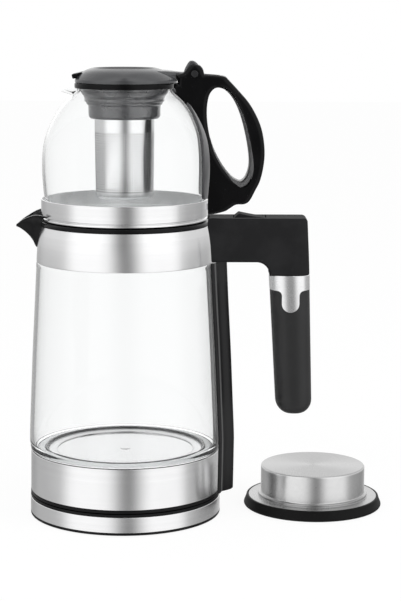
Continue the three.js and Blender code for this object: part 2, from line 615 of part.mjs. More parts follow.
// Power base: connector and its two brass sleeves
const connectorTop = BASE_HEIGHT + CONNECTOR_PROUD;
const connectorBottom = connectorTop - CONNECTOR_DEPTH;
const flangeTop = deckBottom - CLEARANCE;
const flangeBottom = flangeTop - CONNECTOR_FLANGE_THICKNESS;
const flangeRadius = CONNECTOR_RADIUS + CONNECTOR_FLANGE_WIDTH;
const sleeveInner = PIN_RADIUS + DOCK_CLEARANCE;
const sleeveOuter = sleeveInner + CONTACT_SLEEVE_WALL;
const sleeveTop = connectorTop - CONTACT_SLEEVE_SETBACK;
const pinTip = connectorTop - PIN_ENGAGED;
const ringTip = connectorTop - CONTACT_RING_ENGAGED;
const ringInner = CONTACT_RING_RADIUS - CONTACT_RING_WALL;
const outerSleeveInner = CONTACT_RING_RADIUS + DOCK_CLEARANCE;
const outerSleeveOuter = outerSleeveInner + CONTACT_SLEEVE_WALL;
const wellTop = connectorTop + CUT_OVERRUN;
const pinWell = disc(sleeveOuter + CLEARANCE, pinTip - SOCKET_HEADROOM, wellTop, SMALL_ROUND_STEPS);
const ringWell = ring(
  ringInner - DOCK_CLEARANCE, outerSleeveOuter + CLEARANCE, ringTip - SOCKET_HEADROOM, wellTop,
  CONNECTOR_STEPS,
);
add(base, 'base_connector', SATIN_BLACK, turned([
  [0, connectorBottom], [CONNECTOR_RADIUS, connectorBottom], [CONNECTOR_RADIUS, flangeBottom],
  [flangeRadius, flangeBottom], [flangeRadius, flangeTop], [CONNECTOR_RADIUS, flangeTop],
  [CONNECTOR_RADIUS, connectorTop], [0, connectorTop],
], CONNECTOR_STEPS).subtract(pinWell).subtract(ringWell));
add(base, 'base_pin_sleeve', BRASS,
  ring(sleeveInner, sleeveOuter, pinTip - SOCKET_HEADROOM + CLEARANCE, sleeveTop, SMALL_ROUND_STEPS));
add(base, 'base_ring_sleeve', BRASS,
  ring(outerSleeveInner, outerSleeveOuter, ringTip - SOCKET_HEADROOM + CLEARANCE, sleeveTop, CONNECTOR_STEPS));

// Kettle: bottom cover and lower steel band. From here on heights are above the kettle's underside.
kettle.position.z = kettleBottom;
const lowerBandBottom = KETTLE_RIM_HEIGHT + CLEARANCE;
const lowerBandTop = lowerBandBottom + LOWER_BAND_HEIGHT;
const upstandOuter = lowerBandRadius - BAND_SHEET - CLEARANCE;
const upstandTop = KETTLE_RIM_HEIGHT + UPSTAND_HEIGHT;
const coverHole = CONNECTOR_RADIUS + COVER_HOLE_CLEARANCE;
add(kettle, 'kettle_bottom_cover', SATIN_BLACK, turned([
  [coverHole, 0], [kettleRimRadius, 0], [kettleRimRadius, KETTLE_RIM_HEIGHT], [upstandOuter, KETTLE_RIM_HEIGHT],
  [upstandOuter, upstandTop], [upstandOuter - SHELL_WALL, upstandTop],
  [upstandOuter - SHELL_WALL, DECK_THICKNESS], [coverHole, DECK_THICKNESS],
]));

// Kettle handle sizes that the bands and the lining are drilled for
const collarBottom = lowerBandTop + GLASS_HEIGHT - GLASS_NECK_HEIGHT;
const handleScrewHeight = collarBottom + HANDLE_SCREW_HEIGHT;
const spineScrewHeight = lowerBandBottom + SPINE_SCREW_HEIGHT - KETTLE_RIM_HEIGHT;
const linerInner = linerRadius - LINER_WALL;
const screwSide = HANDLE_SCREW_SPREAD + SCREW_HEAD_RADIUS;
const handleScrewHeadX = Math.sqrt(linerInner ** 2 - screwSide ** 2) - CLEARANCE;
const carrierOuter = bandTopRadius - BAND_SHEET - CLEARANCE;
const spineScrewHeadX = Math.sqrt((carrierOuter - SHELL_WALL) ** 2 - SCREW_HEAD_RADIUS ** 2) - CLEARANCE;
const drill = (headX) =>
  alongX(disc(screwHole, headX, headX + HANDLE_SCREW_REACH + CLEARANCE, SMALL_ROUND_STEPS));
const handleDrills = [-HANDLE_SCREW_SPREAD, HANDLE_SCREW_SPREAD].map((y) =>
  drill(handleScrewHeadX).translate([0, y, handleScrewHeight]));
const spineDrill = drill(spineScrewHeadX).translate([0, 0, spineScrewHeight]);

add(kettle, 'kettle_lower_band', BRUSHED_STEEL, turned([
  [lowerBandRadius - BAND_SHEET, lowerBandBottom], [lowerBandRadius, lowerBandBottom],
  [bandTopRadius, lowerBandTop], [bandTopRadius - BAND_SHEET, lowerBandTop],
]).subtract(spineDrill));

// Kettle: connector with its pin and contact ring, and the control above it
const socketCeiling = connectorTop - kettleBottom + SOCKET_HEADROOM;
const socketRadius = CONNECTOR_RADIUS + SOCKET_CLEARANCE;
const kettleFlangeBottom = DECK_THICKNESS + CLEARANCE;
const kettleFlangeTop = kettleFlangeBottom + KETTLE_CONNECTOR_FLANGE_THICKNESS;
const kettleConnectorRadius = socketRadius + KETTLE_CONNECTOR_WALL;
const kettleConnectorTop = kettleFlangeBottom + KETTLE_CONNECTOR_HEIGHT;
const rootTop = socketCeiling + PIN_ROOT;
const seatTop = rootTop + CLEARANCE;
const pinSeat = disc(PIN_RADIUS + CLEARANCE, 0, seatTop, SMALL_ROUND_STEPS);
const ringSeat = ring(ringInner - CLEARANCE, CONTACT_RING_RADIUS + CLEARANCE, 0, seatTop, CONNECTOR_STEPS);
add(kettle, 'kettle_connector', SATIN_BLACK, turned([
  [0, socketCeiling], [socketRadius, socketCeiling], [socketRadius, kettleFlangeBottom],
  [kettleConnectorRadius + KETTLE_CONNECTOR_FLANGE, kettleFlangeBottom],
  [kettleConnectorRadius + KETTLE_CONNECTOR_FLANGE, kettleFlangeTop],
  [kettleConnectorRadius, kettleFlangeTop], [kettleConnectorRadius, kettleConnectorTop],
  [0, kettleConnectorTop],
], CONNECTOR_STEPS).subtract(pinSeat).subtract(ringSeat));
add(kettle, 'kettle_contact_pin', BRASS, disc(PIN_RADIUS, pinTip - kettleBottom, rootTop, SMALL_ROUND_STEPS));
add(kettle, 'kettle_contact_ring', BRASS,
  ring(ringInner, CONTACT_RING_RADIUS, ringTip - kettleBottom, rootTop, CONNECTOR_STEPS));
const controlBottom = kettleConnectorTop + CLEARANCE;
add(kettle, 'kettle_control', SATIN_BLACK, block(
  [-CONTROL_LENGTH / 2, -CONTROL_DEPTH / 2, controlBottom],
  [CONTROL_LENGTH / 2, CONTROL_DEPTH / 2, controlBottom + CONTROL_HEIGHT],
));

// Kettle: carrier, seal, heating plate and element
const glassBottom = lowerBandTop + CLEARANCE * 2;
const sealTop = glassBottom - CLEARANCE;
const sealBottom = sealTop - SEAT_SEAL_THICKNESS;
const carrierTop = sealBottom - CLEARANCE;
const carrierBottom = upstandTop + CLEARANCE;
add(kettle, 'heater_carrier', SATIN_BLACK, turned([
  [carrierOuter - SHELL_WALL, carrierBottom], [carrierOuter, carrierBottom], [carrierOuter, carrierTop],
  [carrierOuter - CARRIER_LEDGE_WIDTH, carrierTop],
  [carrierOuter - CARRIER_LEDGE_WIDTH, carrierTop - CARRIER_LEDGE_THICKNESS],
  [carrierOuter - SHELL_WALL, carrierTop - CARRIER_LEDGE_THICKNESS],
]).subtract(spineDrill));
add(kettle, 'glass_seat_seal', CLEAR_SILICONE, turned([
  [heaterRadius + CLEARANCE, sealBottom], [carrierOuter, sealBottom], [carrierOuter, sealTop],
  [sealLipRadius, sealTop], [sealLipRadius, sealTop + SEAT_SEAL_LIP],
  [heaterRadius + CLEARANCE, sealTop + SEAT_SEAL_LIP],
]));
const heaterTop = sealBottom + HEATER_THICKNESS;
const heaterDishRadius = heaterRadius - HEATER_RIM_WIDTH;
add(kettle, 'heating_plate', BRUSHED_STEEL, turned([
  [0, sealBottom], [heaterRadius, sealBottom], [heaterRadius, heaterTop],
  [heaterDishRadius + HEATER_DISH_SLOPE, heaterTop], [heaterDishRadius, heaterTop - HEATER_DISH_DEPTH],
  [0, heaterTop - HEATER_DISH_DEPTH],
]));

class ArcPath extends THREE.Curve {
  constructor(radius, height, turn) {
    super();
    Object.assign(this, { radius, height, turn });
  }
  getPoint(t, target = new THREE.Vector3()) {
    const angle = this.turn * (t - 1 / 2);
    return target.set(this.radius * Math.cos(angle), this.radius * Math.sin(angle), this.height);
  }
}
const elementHeight = sealBottom - CLEARANCE - ELEMENT_TUBE_RADIUS;
const tubeSection = new THREE.Shape(new THREE.EllipseCurve(0, 0, ELEMENT_TUBE_RADIUS, ELEMENT_TUBE_RADIUS)
  .getPoints(TUBE_STEPS).slice(1));
add(kettle, 'heating_element', DARK_METAL, solid(new THREE.ExtrudeGeometry(tubeSection, {
  steps: TUBE_LENGTH_STEPS,
  extrudePath: new ArcPath(heaterRadius - ELEMENT_INSET, elementHeight, ELEMENT_TURN),
  bevelEnabled: false,
})));

// Kettle: glass
const glassTop = glassBottom + GLASS_HEIGHT;
const shoulder = glassTop - GLASS_NECK_HEIGHT - GLASS_SHOULDER_HEIGHT;
const kettleGlassOuter = [
  [bandTopRadius, glassBottom],
  [bandTopRadius + GLASS_FOOT_PROUD, glassBottom + GLASS_FOOT_HEIGHT],
  [bellyRadius, glassBottom + GLASS_BELLY_HEIGHT],
  [(bellyRadius + shoulderRadius) / 2, (glassBottom + GLASS_BELLY_HEIGHT + shoulder) / 2],
  [shoulderRadius, shoulder],
  [shoulderRadius - GLASS_NECK_SETBACK, glassTop - GLASS_NECK_HEIGHT],
  [shoulderRadius - GLASS_NECK_SETBACK - GLASS_NECK_TAPER, glassTop],
];
const sidewaysIn = (profile, wall) => profile.map(([radius, height]) => [radius - wall, height]).reverse();
add(kettle, 'kettle_glass', CLEAR_GLASS,
  turned([...kettleGlassOuter, ...sidewaysIn(kettleGlassOuter, KETTLE_GLASS_WALL)]));

// Kettle: collar, lining with black rim and spout, filter and upper seal
const collarTop = collarBottom + COLLAR_HEIGHT;
const rimBottom = collarTop + CLEARANCE;
const rimTop = rimBottom + RIM_THICKNESS;
const collarOuter = [
  [collarRadius, collarBottom], [collarRadius - COLLAR_MIDDLE_TAPER, (collarBottom + collarTop) / 2],
  [collarTopRadius, collarTop],
];
const topSealBottom = glassTop + CLEARANCE;
const linerBottom = topSealBottom + TOP_SEAL_THICKNESS + CLEARANCE;
const neckRadius = shoulderRadius - GLASS_NECK_SETBACK - GLASS_NECK_TAPER;
add(kettle, 'glass_top_seal', RUBBER_BLACK,
  ring(neckRadius - TOP_SEAL_WIDTH, neckRadius, topSealBottom, topSealBottom + TOP_SEAL_THICKNESS));

// The spout is a beak whose sides run from its tip to where they touch the round rim.
const spoutHighRim = rimTop + SPOUT_RIM_RISE;
const spoutTouch = Math.acos(rimRadius / spoutReach);
const spoutRootX = linerRadius - SPOUT_ROOT_INSET;
const spoutSlope = Math.tan(Math.PI / 2 - spoutTouch);
function beak({ wall, above, ...sizes }) {
  const { reach, rootX, slope, tipHalfWidth, tipDepth, rimTipDrop, highRim, drop, line, sides } = sizes;
  const length = reach - rootX;
  const least = tipHalfWidth * BEAK_TIP_LEAST_SHARE;
  return line.map(([share, keelShare, rimShare]) => {
    const x = -reach + wall * BEAK_TIP_LEAN_SHARE * (1 - share) + share * length;
    const halfWidth = Math.max(tipHalfWidth + share * length * slope - wall, least);
    const rimHeight = highRim - rimTipDrop * (1 - rimShare);
    const keelHeight = highRim - rimTipDrop - tipDepth - (drop - rimTipDrop - tipDepth) * keelShare + wall;
    const side = sides.map(([out, rise]) => [halfWidth * out, keelHeight + (rimHeight - keelHeight) * rise]);
    const right = side.map(([y, z]) => [x, y, z]);
    const left = side.slice(1).reverse().map(([y, z]) => [x, -y, z]);
    const over = above ? [[x, halfWidth, rimHeight + above], [x, -halfWidth, rimHeight + above]] : [];
    return [...right, ...over, ...left];
  });
}
const spoutSizes = {
  reach: spoutReach, rootX: spoutRootX, slope: spoutSlope, tipHalfWidth: SPOUT_TIP_HALF_WIDTH,
  tipDepth: SPOUT_TIP_DEPTH, rimTipDrop: SPOUT_RIM_RISE + SPOUT_TIP_DROP, highRim: spoutHighRim,
  drop: SPOUT_DROP, line: spoutLineShares, sides: spoutSideShares,
};
const spoutBody = lofted(beak({ ...spoutSizes, wall: 0 }));
const spoutChannel = lofted(beak({ ...spoutSizes, wall: SPOUT_WALL, above: CUT_OVERRUN }));
const rimBridge = disc(linerRadius, rimBottom, spoutHighRim + CUT_OVERRUN * 2);
const insideLiner = disc(linerInner, collarBottom, spoutHighRim + CUT_OVERRUN);
const teapotClear = disc(cupRadius + MOUTH_CLEARANCE, rimTop, spoutHighRim + CUT_OVERRUN);
const lining = turned([
  [mouthRadius, rimTop], [mouthRadius, rimBottom], [linerInner, rimBottom], [linerInner, linerBottom],
  [linerRadius, linerBottom], [linerRadius, rimBottom], [rimRadius, rimBottom], [rimRadius, rimTop],
]);
const spoutOutside = spoutBody.subtract(insideLiner).subtract(teapotClear);
const channel = spoutChannel.subtract(rimBridge);
let spoutRing = lining.add(spoutOutside).subtract(channel);
for (const cut of handleDrills) spoutRing = spoutRing.subtract(cut);
add(kettle, 'spout_ring', SATIN_BLACK, spoutRing);

const spoutWindow = lofted(beak({ ...spoutSizes, wall: -CLEARANCE, above: CUT_OVERRUN }));
let collar = turned([...collarOuter, ...sidewaysIn(collarOuter, BAND_SHEET)]).subtract(spoutWindow);
for (const cut of handleDrills) collar = collar.subtract(cut);
add(kettle, 'upper_collar', BRUSHED_STEEL, collar);

const filterOuter = linerInner - CLEARANCE;
const filterTop = rimBottom - CLEARANCE;
const filterWall = ring(filterOuter - FILTER_THICKNESS, filterOuter, filterTop - FILTER_HEIGHT, filterTop);
const filterSide = block(
  [-filterOuter - CUT_OVERRUN, -FILTER_HALF_WIDTH, 0], [0, FILTER_HALF_WIDTH, filterTop + CUT_OVERRUN],
);
add(kettle, 'spout_filter', PERFORATED_STEEL, filterWall.intersect(filterSide));

// Kettle handle: what the arm and the spine are cut back from
const armTop = rimTop + ARM_ABOVE_RIM;
const armBottom = armTop - ARM_DEPTH;
const gripTopX = collarRadius + GRIP_REACH;
const gripTop = armBottom - LEG_LENGTH;
const gripBottom = gripTop - GRIP_LENGTH;
const bodyClear = turned([
  [0, 0], [collarRadius + CLEARANCE, 0],
  ...collarOuter.map(([radius, height]) => [radius + CLEARANCE, height]),
  [rimRadius + CLEARANCE, rimBottom], [rimRadius + CLEARANCE, armTop + CUT_OVERRUN], [0, armTop + CUT_OVERRUN],
]).add(disc(cupRadius + MOUTH_CLEARANCE * 2, rimTop, armTop + CUT_OVERRUN));

// Grip section: a rounded rectangle whose place and length change with height
const gripShare = (height) => (gripTop - height) / GRIP_LENGTH;
const gripCentre = (height) => gripTopX + GRIP_RAKE * gripShare(height);
const gripHalfLength = (height) => GRIP_TOP_HALF_LENGTH - GRIP_DRAFT * gripShare(height);
const rounded = (value) => Math.sign(value) * Math.abs(value) ** GRIP_SQUARENESS;
function gripSection(height, inset) {
  const points = [];
  for (let i = 0; i < GRIP_STEPS; i++) {
    const angle = (2 * Math.PI * i) / GRIP_STEPS;
    const x = gripCentre(height) + (gripHalfLength(height) - inset) * rounded(Math.cos(angle));
    points.push([x, (GRIP_HALF_WIDTH - inset) * rounded(Math.sin(angle)), height]);
  }
  return points;
}
// The end is rounded by sections that draw in along a quarter circle.
const gripEndAngles = gripEndShares.map((share) => (share * Math.PI) / 2);
const gripEnd = (inset) => gripEndAngles.map((angle) => {
  const height = gripBottom + inset + GRIP_END_ROUND * (1 - Math.sin(angle));
  return gripSection(height, inset + GRIP_END_ROUND * (1 - Math.cos(angle)) * GRIP_END_DRAW_SHARE);
});
const gripSkin = (top, inset) => lofted([
  gripSection(top, inset), gripSection((gripTop + gripBottom) / 2, inset),
  gripSection(gripBottom + GRIP_END_ROUND + inset, inset), ...gripEnd(inset),
]);

const coreBottom = gripTop - CORE_BELOW_GRIP;
const coreTop = gripTop + CORE_ABOVE_GRIP;
const coreBore = disc(CORE_RADIUS + CLEARANCE, coreBottom - CLEARANCE, coreTop + CLEARANCE, SMALL_ROUND_STEPS)
  .translate([gripTopX, 0, 0]);
add(kettle, 'handle_core_rod', ZINC_STEEL, disc(CORE_RADIUS, coreBottom, coreTop, SMALL_ROUND_STEPS))
  .position.x = gripTopX;

const ringBottom = gripTop - HANDLE_RING_HEIGHT;
const tongueBottom = gripTop - HANDLE_RING_HEIGHT - TONGUE_LENGTH;
function ringFront(grow) {
  const band = block(
    [gripTopX - GRIP_TOP_HALF_LENGTH * 2, -GRIP_HALF_WIDTH * 2, ringBottom - grow],
    [gripTopX + GRIP_TOP_HALF_LENGTH * 2, GRIP_HALF_WIDTH * 2, gripTop + CUT_OVERRUN],
  );
  const halfWidth = TONGUE_HALF_WIDTH + grow;
  const centreX = gripCentre((ringBottom + tongueBottom) / 2);
  const shape = new THREE.Shape();
  shape.moveTo(centreX - halfWidth, ringBottom);
  shape.lineTo(centreX - halfWidth, tongueBottom - grow + halfWidth);
  shape.absarc(centreX, tongueBottom - grow + halfWidth, halfWidth, Math.PI, 2 * Math.PI, false);
  shape.lineTo(centreX + halfWidth, ringBottom);
  return band.add(plate(shape, GRIP_HALF_WIDTH * 2));
}
const gripBody = gripSkin(gripTop, 0);
const gripCore = gripSkin(gripTop, HANDLE_RING_WALL);
const gripInnerCore = gripSkin(gripTop, HANDLE_RING_WALL + CLEARANCE);
add(kettle, 'handle_steel_ring', BRUSHED_STEEL, gripBody.intersect(ringFront(0)).subtract(gripCore));
const gripOutside = gripBody.subtract(ringFront(CLEARANCE));
add(kettle, 'handle_grip', SATIN_BLACK, gripOutside.add(gripInnerCore).subtract(coreBore));

// Kettle handle: arm, with the pocket for the lever and the switch
const legBottom = gripTop + CLEARANCE;
const legInner = gripTopX - GRIP_TOP_HALF_LENGTH;
const legOuter = gripTopX + GRIP_TOP_HALF_LENGTH;
const armOuterTop = legOuter - ARM_EDGE;
const armShape = new THREE.Shape();
armShape.moveTo(mouthRadius, armBottom);
armShape.lineTo(legInner - ARM_INNER_CORNER_RADIUS, armBottom);
const innerCornerX = legInner - ARM_INNER_CORNER_RADIUS;
const innerCornerHeight = armBottom - ARM_INNER_CORNER_RADIUS;
armShape.absarc(innerCornerX, innerCornerHeight, ARM_INNER_CORNER_RADIUS, Math.PI / 2, 0, true);
armShape.lineTo(legInner, legBottom);
armShape.lineTo(legOuter, legBottom);
armShape.lineTo(armOuterTop, armTop - ARM_CORNER_RADIUS);
const cornerHeight = armTop - ARM_CORNER_RADIUS;
armShape.absarc(armOuterTop - ARM_CORNER_RADIUS, cornerHeight, ARM_CORNER_RADIUS, 0, Math.PI / 2, false);
armShape.lineTo(mouthRadius, armTop);

const leverStartX = collarRadius + LEVER_FROM_COLLAR;
const leverEndX = leverStartX + LEVER_LENGTH;
const leverPinX = leverEndX - LEVER_PIN_FROM_END;
const leverPinHeight = armTop - LEVER_PIN_DEPTH;
const leverBottom = armTop - LEVER_BODY_DEPTH;
const switchTop = leverBottom - SWITCH_TRAVEL_ROOM;
const switchBottom = switchTop - SWITCH_HEIGHT;
const leverPocket = block(
  [leverStartX - LEVER_CLEARANCE, -LEVER_HALF_WIDTH - LEVER_CLEARANCE, switchBottom - CLEARANCE],
  [leverEndX + LEVER_CLEARANCE, LEVER_HALF_WIDTH + LEVER_CLEARANCE, armTop + CUT_OVERRUN],
);
const leverPinHalf = LEVER_HALF_WIDTH + LEVER_CLEARANCE + LEVER_PIN_OVERHANG;
const leverBoreHalf = leverPinHalf + CLEARANCE;
const leverPinBore = alongY(
  disc(LEVER_PIN_RADIUS + CLEARANCE, -leverBoreHalf, leverBoreHalf, SMALL_ROUND_STEPS),
).translate([leverPinX, 0, leverPinHeight]);
const armPlan = (height) => [
  ...armEndTurns.map((turn) => {
    const angle = turn * 2 * Math.PI;
    const x = gripTopX + GRIP_TOP_HALF_LENGTH * rounded(Math.cos(angle));
    return [x, ARM_HALF_WIDTH * rounded(Math.sin(angle)), height];
  }),
  [0, ARM_HALF_WIDTH, height], [0, -ARM_HALF_WIDTH, height],
];
const armSides = lofted([armPlan(gripTop), armPlan(armTop + CUT_OVERRUN)]);
let arm = plate(armShape, ARM_HALF_WIDTH, { edge: ARM_EDGE }).intersect(armSides);
arm = arm.subtract(bodyClear).subtract(coreBore);
arm = arm.subtract(leverPocket).subtract(leverPinBore);
for (const cut of handleDrills) arm = arm.subtract(cut);
add(kettle, 'handle_arm', SATIN_BLACK, arm);

const leverOutline = [
  [leverStartX, leverBottom], [leverEndX, leverBottom], [leverEndX, armTop + LEVER_END_RISE],
  [leverStartX + LEVER_MIDDLE_FROM_START, armTop + LEVER_MIDDLE_RISE],
  [leverStartX + LEVER_PEAK_FROM_START, armTop + LEVER_RISE], [leverStartX, armTop + LEVER_START_RISE],
].map(([x, z]) => new THREE.Vector2(x, z));
add(kettle, 'power_lever', SATIN_BLACK, plate(leverOutline, LEVER_HALF_WIDTH).subtract(leverPinBore));
add(kettle, 'power_lever_pin', ZINC_STEEL,
  alongY(disc(LEVER_PIN_RADIUS, -leverPinHalf, leverPinHalf, SMALL_ROUND_STEPS)))
  .position.set(leverPinX, 0, leverPinHeight);
add(kettle, 'power_switch', WHITE_PLASTIC, block(
  [leverStartX, -SWITCH_HALF_WIDTH, switchBottom], [leverStartX + SWITCH_LENGTH, SWITCH_HALF_WIDTH, switchTop],
));

// Kettle handle: spine, which hugs the body and carries a rounded rib
const spineTop = armBottom - CLEARANCE;
const spineBack = [
  [SPINE_BOTTOM, Math.max(kettleRimRadius, lowerBandRadius) + SPINE_GAP],
  [glassBottom, bellyRadius + SPINE_GAP], [glassBottom + GLASS_BELLY_HEIGHT, bellyRadius + SPINE_GAP],
  [shoulder, shoulderRadius + SPINE_GAP], [spineTop, collarRadius + SPINE_GAP],
];
function spineSection(height, draw = 0) {
  const back = reading(spineBack, height);
  const ys = spineBackShares.map((share) => share * (SPINE_HALF_WIDTH - draw));
  const inner = ys.map((y) => [Math.sqrt(back ** 2 - y ** 2), y, height]);
  const edge = SPINE_HALF_WIDTH - draw;
  const rib = SPINE_RIB_HALF_WIDTH - draw / 2;
  const front = [
    [SPINE_FLANGE - draw / 2, edge], [SPINE_FLANGE, rib * SPINE_RIB_FOOT_SHARE],
    ...spineRibShares.map(([proud, y, drawn]) => [SPINE_RIB_PROUD * proud - draw * drawn, rib * y]),
  ];
  const place = (proud, y) => [Math.sqrt(back ** 2 - y ** 2) + proud, y, height];
  const outer = [...front.map(([p, y]) => place(p, y)), ...front.reverse().map(([p, y]) => place(p, -y))];
  return [...inner, ...outer];
}
const spineHeights = [SPINE_BOTTOM + SPINE_END_ROUND, ...spineBack.slice(1).map(([height]) => height)];
const spine = lofted([
  spineSection(SPINE_BOTTOM, SPINE_END_ROUND / 2), ...spineHeights.map((height) => spineSection(height)),
]);
add(kettle, 'handle_spine', SATIN_BLACK, spine.subtract(spineDrill));

// Screws that hold the arm and the spine, driven from inside
function sideScrew(name, headX, y, height) {
  const body = turned([
    [0, -SCREW_HEAD_THICKNESS], [SCREW_HEAD_RADIUS, -SCREW_HEAD_THICKNESS], [SCREW_HEAD_RADIUS, 0],
    [SCREW_RADIUS, 0], [SCREW_RADIUS, HANDLE_SCREW_REACH], [0, HANDLE_SCREW_REACH],
  ], SMALL_ROUND_STEPS);
  add(kettle, name, ZINC_STEEL, alongX(body)).position.set(headX, y, height);
}
sideScrew('handle_screw_1', handleScrewHeadX, -HANDLE_SCREW_SPREAD, handleScrewHeight);
sideScrew('handle_screw_2', handleScrewHeadX, HANDLE_SCREW_SPREAD, handleScrewHeight);
sideScrew('spine_screw', spineScrewHeadX, 0, spineScrewHeight);

// Teapot: cup and foot ring. From here on heights are above the underside of the cup.
teapot.position.z = kettleBottom + rimTop + CLEARANCE;
const cupInner = cupRadius - CUP_SHEET;
const cupFootRadius = cupRadius - CUP_FOOT_SETBACK;
const cupFlangeRadius = cupRadius - CUP_FLANGE_SETBACK;
const cupNeckRadius = cupRadius - CUP_NECK_SETBACK;
add(teapot, 'teapot_cup', BRUSHED_STEEL, turned([
  [0, 0], [cupFootRadius, 0], [cupFlangeRadius, CUP_FLANGE_EDGE], [cupFlangeRadius, CUP_FLANGE_HEIGHT],
  [cupNeckRadius, CUP_FLANGE_HEIGHT + CUP_SHEET], [cupRadius, CUP_STEP_HEIGHT], [cupRadius, CUP_HEIGHT],
  [cupInner, CUP_HEIGHT], [cupInner, CUP_STEP_HEIGHT + CUP_SHEET / 2],
  [cupNeckRadius - CUP_SHEET, CUP_FLANGE_HEIGHT + CUP_SHEET * 3 / 2], [cupFootRadius - CUP_SHEET, CUP_SHEET],
  [0, CUP_SHEET],
]));
const footRingOuter = mouthRadius - MOUTH_CLEARANCE;
add(teapot, 'teapot_foot_ring', RUBBER_BLACK,
  ring(footRingOuter - FOOT_RING_WIDTH, footRingOuter, -CLEARANCE - FOOT_RING_HEIGHT, -CLEARANCE));

// Teapot: glass with its pouring lip
const bowlBottom = CUP_SHEET + CLEARANCE;
const bowlTop = bowlBottom + TEAPOT_GLASS_HEIGHT;
const bowlOuter = teapotGlassShares.map(([radius, height]) => [
  radius * bowlRadius, bowlBottom + height * TEAPOT_GLASS_HEIGHT,
]);
const bowlInner = movedIn(bowlOuter, TEAPOT_GLASS_WALL).reverse();
bowlInner[0][1] = bowlTop;
bowlInner[bowlInner.length - 1][1] = bowlBottom + TEAPOT_GLASS_WALL;
const neckOuter = bowlOuter[bowlOuter.length - 1][0];
const lipReach = neckOuter + LIP_PROUD;
const lipSizes = {
  reach: lipReach, rootX: neckOuter - TEAPOT_GLASS_WALL, tipHalfWidth: LIP_WALL, tipDepth: LIP_WALL,
  slope: (LIP_HALF_WIDTH - LIP_WALL) / (lipReach - neckOuter + TEAPOT_GLASS_WALL), rimTipDrop: LIP_WALL / 2,
  highRim: bowlTop, drop: LIP_DEPTH + LIP_WALL * 2, line: lipLineShares, sides: lipSideShares,
};
const lipBody = lofted(beak({ ...lipSizes, wall: 0 }));
const lipChannel = lofted(beak({
  ...lipSizes, rootX: lipSizes.rootX - TEAPOT_GLASS_WALL, wall: LIP_WALL, above: CUT_OVERRUN,
}));
const bowl = turned([[0, bowlBottom], ...bowlOuter, ...bowlInner, [0, bowlBottom + TEAPOT_GLASS_WALL]]);
const bowlInside = turned([[0, bowlBottom + TEAPOT_GLASS_WALL], ...[...bowlInner].reverse(), [0, bowlTop]]);
add(teapot, 'teapot_glass', CLEAR_GLASS, bowl.add(lipBody.subtract(bowlInside)).subtract(lipChannel));

// Teapot: rim ring, infuser collar and basket
const rimRingBottom = bowlTop + CLEARANCE;
const rimRingTop = rimRingBottom + RIM_RING_HEIGHT;
const rimRingRadius = neckOuter + RIM_RING_PROUD;
const neckInner = neckOuter - TEAPOT_GLASS_WALL;
add(teapot, 'teapot_rim_ring', GLOSS_BLACK, ring(neckInner, rimRingRadius, rimRingBottom, rimRingTop));

const infuserRadius = rimRingRadius - INFUSER_FLANGE_SETBACK;
const infuserLowerRadius = infuserRadius - INFUSER_LOWER_SETBACK;
const basketRadius = infuserLowerRadius - INFUSER_WALL - BASKET_FLANGE_WIDTH - BASKET_SIDE_CLEARANCE;
const infuserBottom = rimRingTop + CLEARANCE - INFUSER_DEPTH;
const infuserTop = rimRingTop + CLEARANCE + INFUSER_FLANGE_THICKNESS;
const infuserNeck = neckInner - NECK_CLEARANCE;
const infuserOuter = [
  [infuserRadius, infuserTop], [infuserRadius, rimRingTop + CLEARANCE],
  [infuserNeck, rimRingTop + CLEARANCE],
  ...infuserShares.map(([radius, drop]) => [
    radius * infuserRadius, rimRingTop + CLEARANCE - drop * INFUSER_DEPTH,
  ]),
  [infuserLowerRadius, rimRingTop + CLEARANCE - INFUSER_LOWER_DROP],
  [infuserLowerRadius, infuserBottom + INFUSER_WALL],
  [infuserLowerRadius - INFUSER_WALL, infuserBottom],
];
const basketHole = basketRadius + CLEARANCE * 2;
const basketLedge = infuserBottom + INFUSER_WALL * 2;
const infuserLowerInner = infuserLowerRadius - INFUSER_WALL;
add(teapot, 'infuser_collar', INFUSER_GREY, turned([
  ...infuserOuter,
  [basketHole, infuserBottom], [basketHole, basketLedge], [infuserLowerInner, basketLedge],
  [infuserLowerInner, rimRingTop + CLEARANCE - INFUSER_THROAT_DROP],
  [infuserNeck - INFUSER_WAIST_SETBACK, rimRingTop - INFUSER_WAIST_DROP],
  [infuserNeck - INFUSER_WALL, rimRingTop - INFUSER_FUNNEL_DROP], [infuserNeck - INFUSER_WALL, infuserTop],
]));
const basketTop = basketLedge + CLEARANCE + BASKET_FLANGE_THICKNESS;
const basketBottom = bowlBottom + TEAPOT_GLASS_WALL + BASKET_ABOVE_FLOOR;
const basketFootRadius = basketRadius - BASKET_DRAFT;
const basketFlangeRadius = basketRadius + BASKET_FLANGE_WIDTH;
add(teapot, 'infuser_basket', PERFORATED_STEEL, turned([
  [0, basketBottom], [basketFootRadius - BASKET_CORNER, basketBottom],
  [basketFootRadius, basketBottom + BASKET_CORNER], [basketRadius, basketLedge + CLEARANCE],
  [basketFlangeRadius, basketLedge + CLEARANCE], [basketFlangeRadius, basketTop],
  [basketRadius - BASKET_SHEET, basketTop],
  [basketFootRadius - BASKET_SHEET, basketBottom + BASKET_CORNER],
  [basketFootRadius - BASKET_CORNER, basketBottom + BASKET_SHEET], [0, basketBottom + BASKET_SHEET],
]));

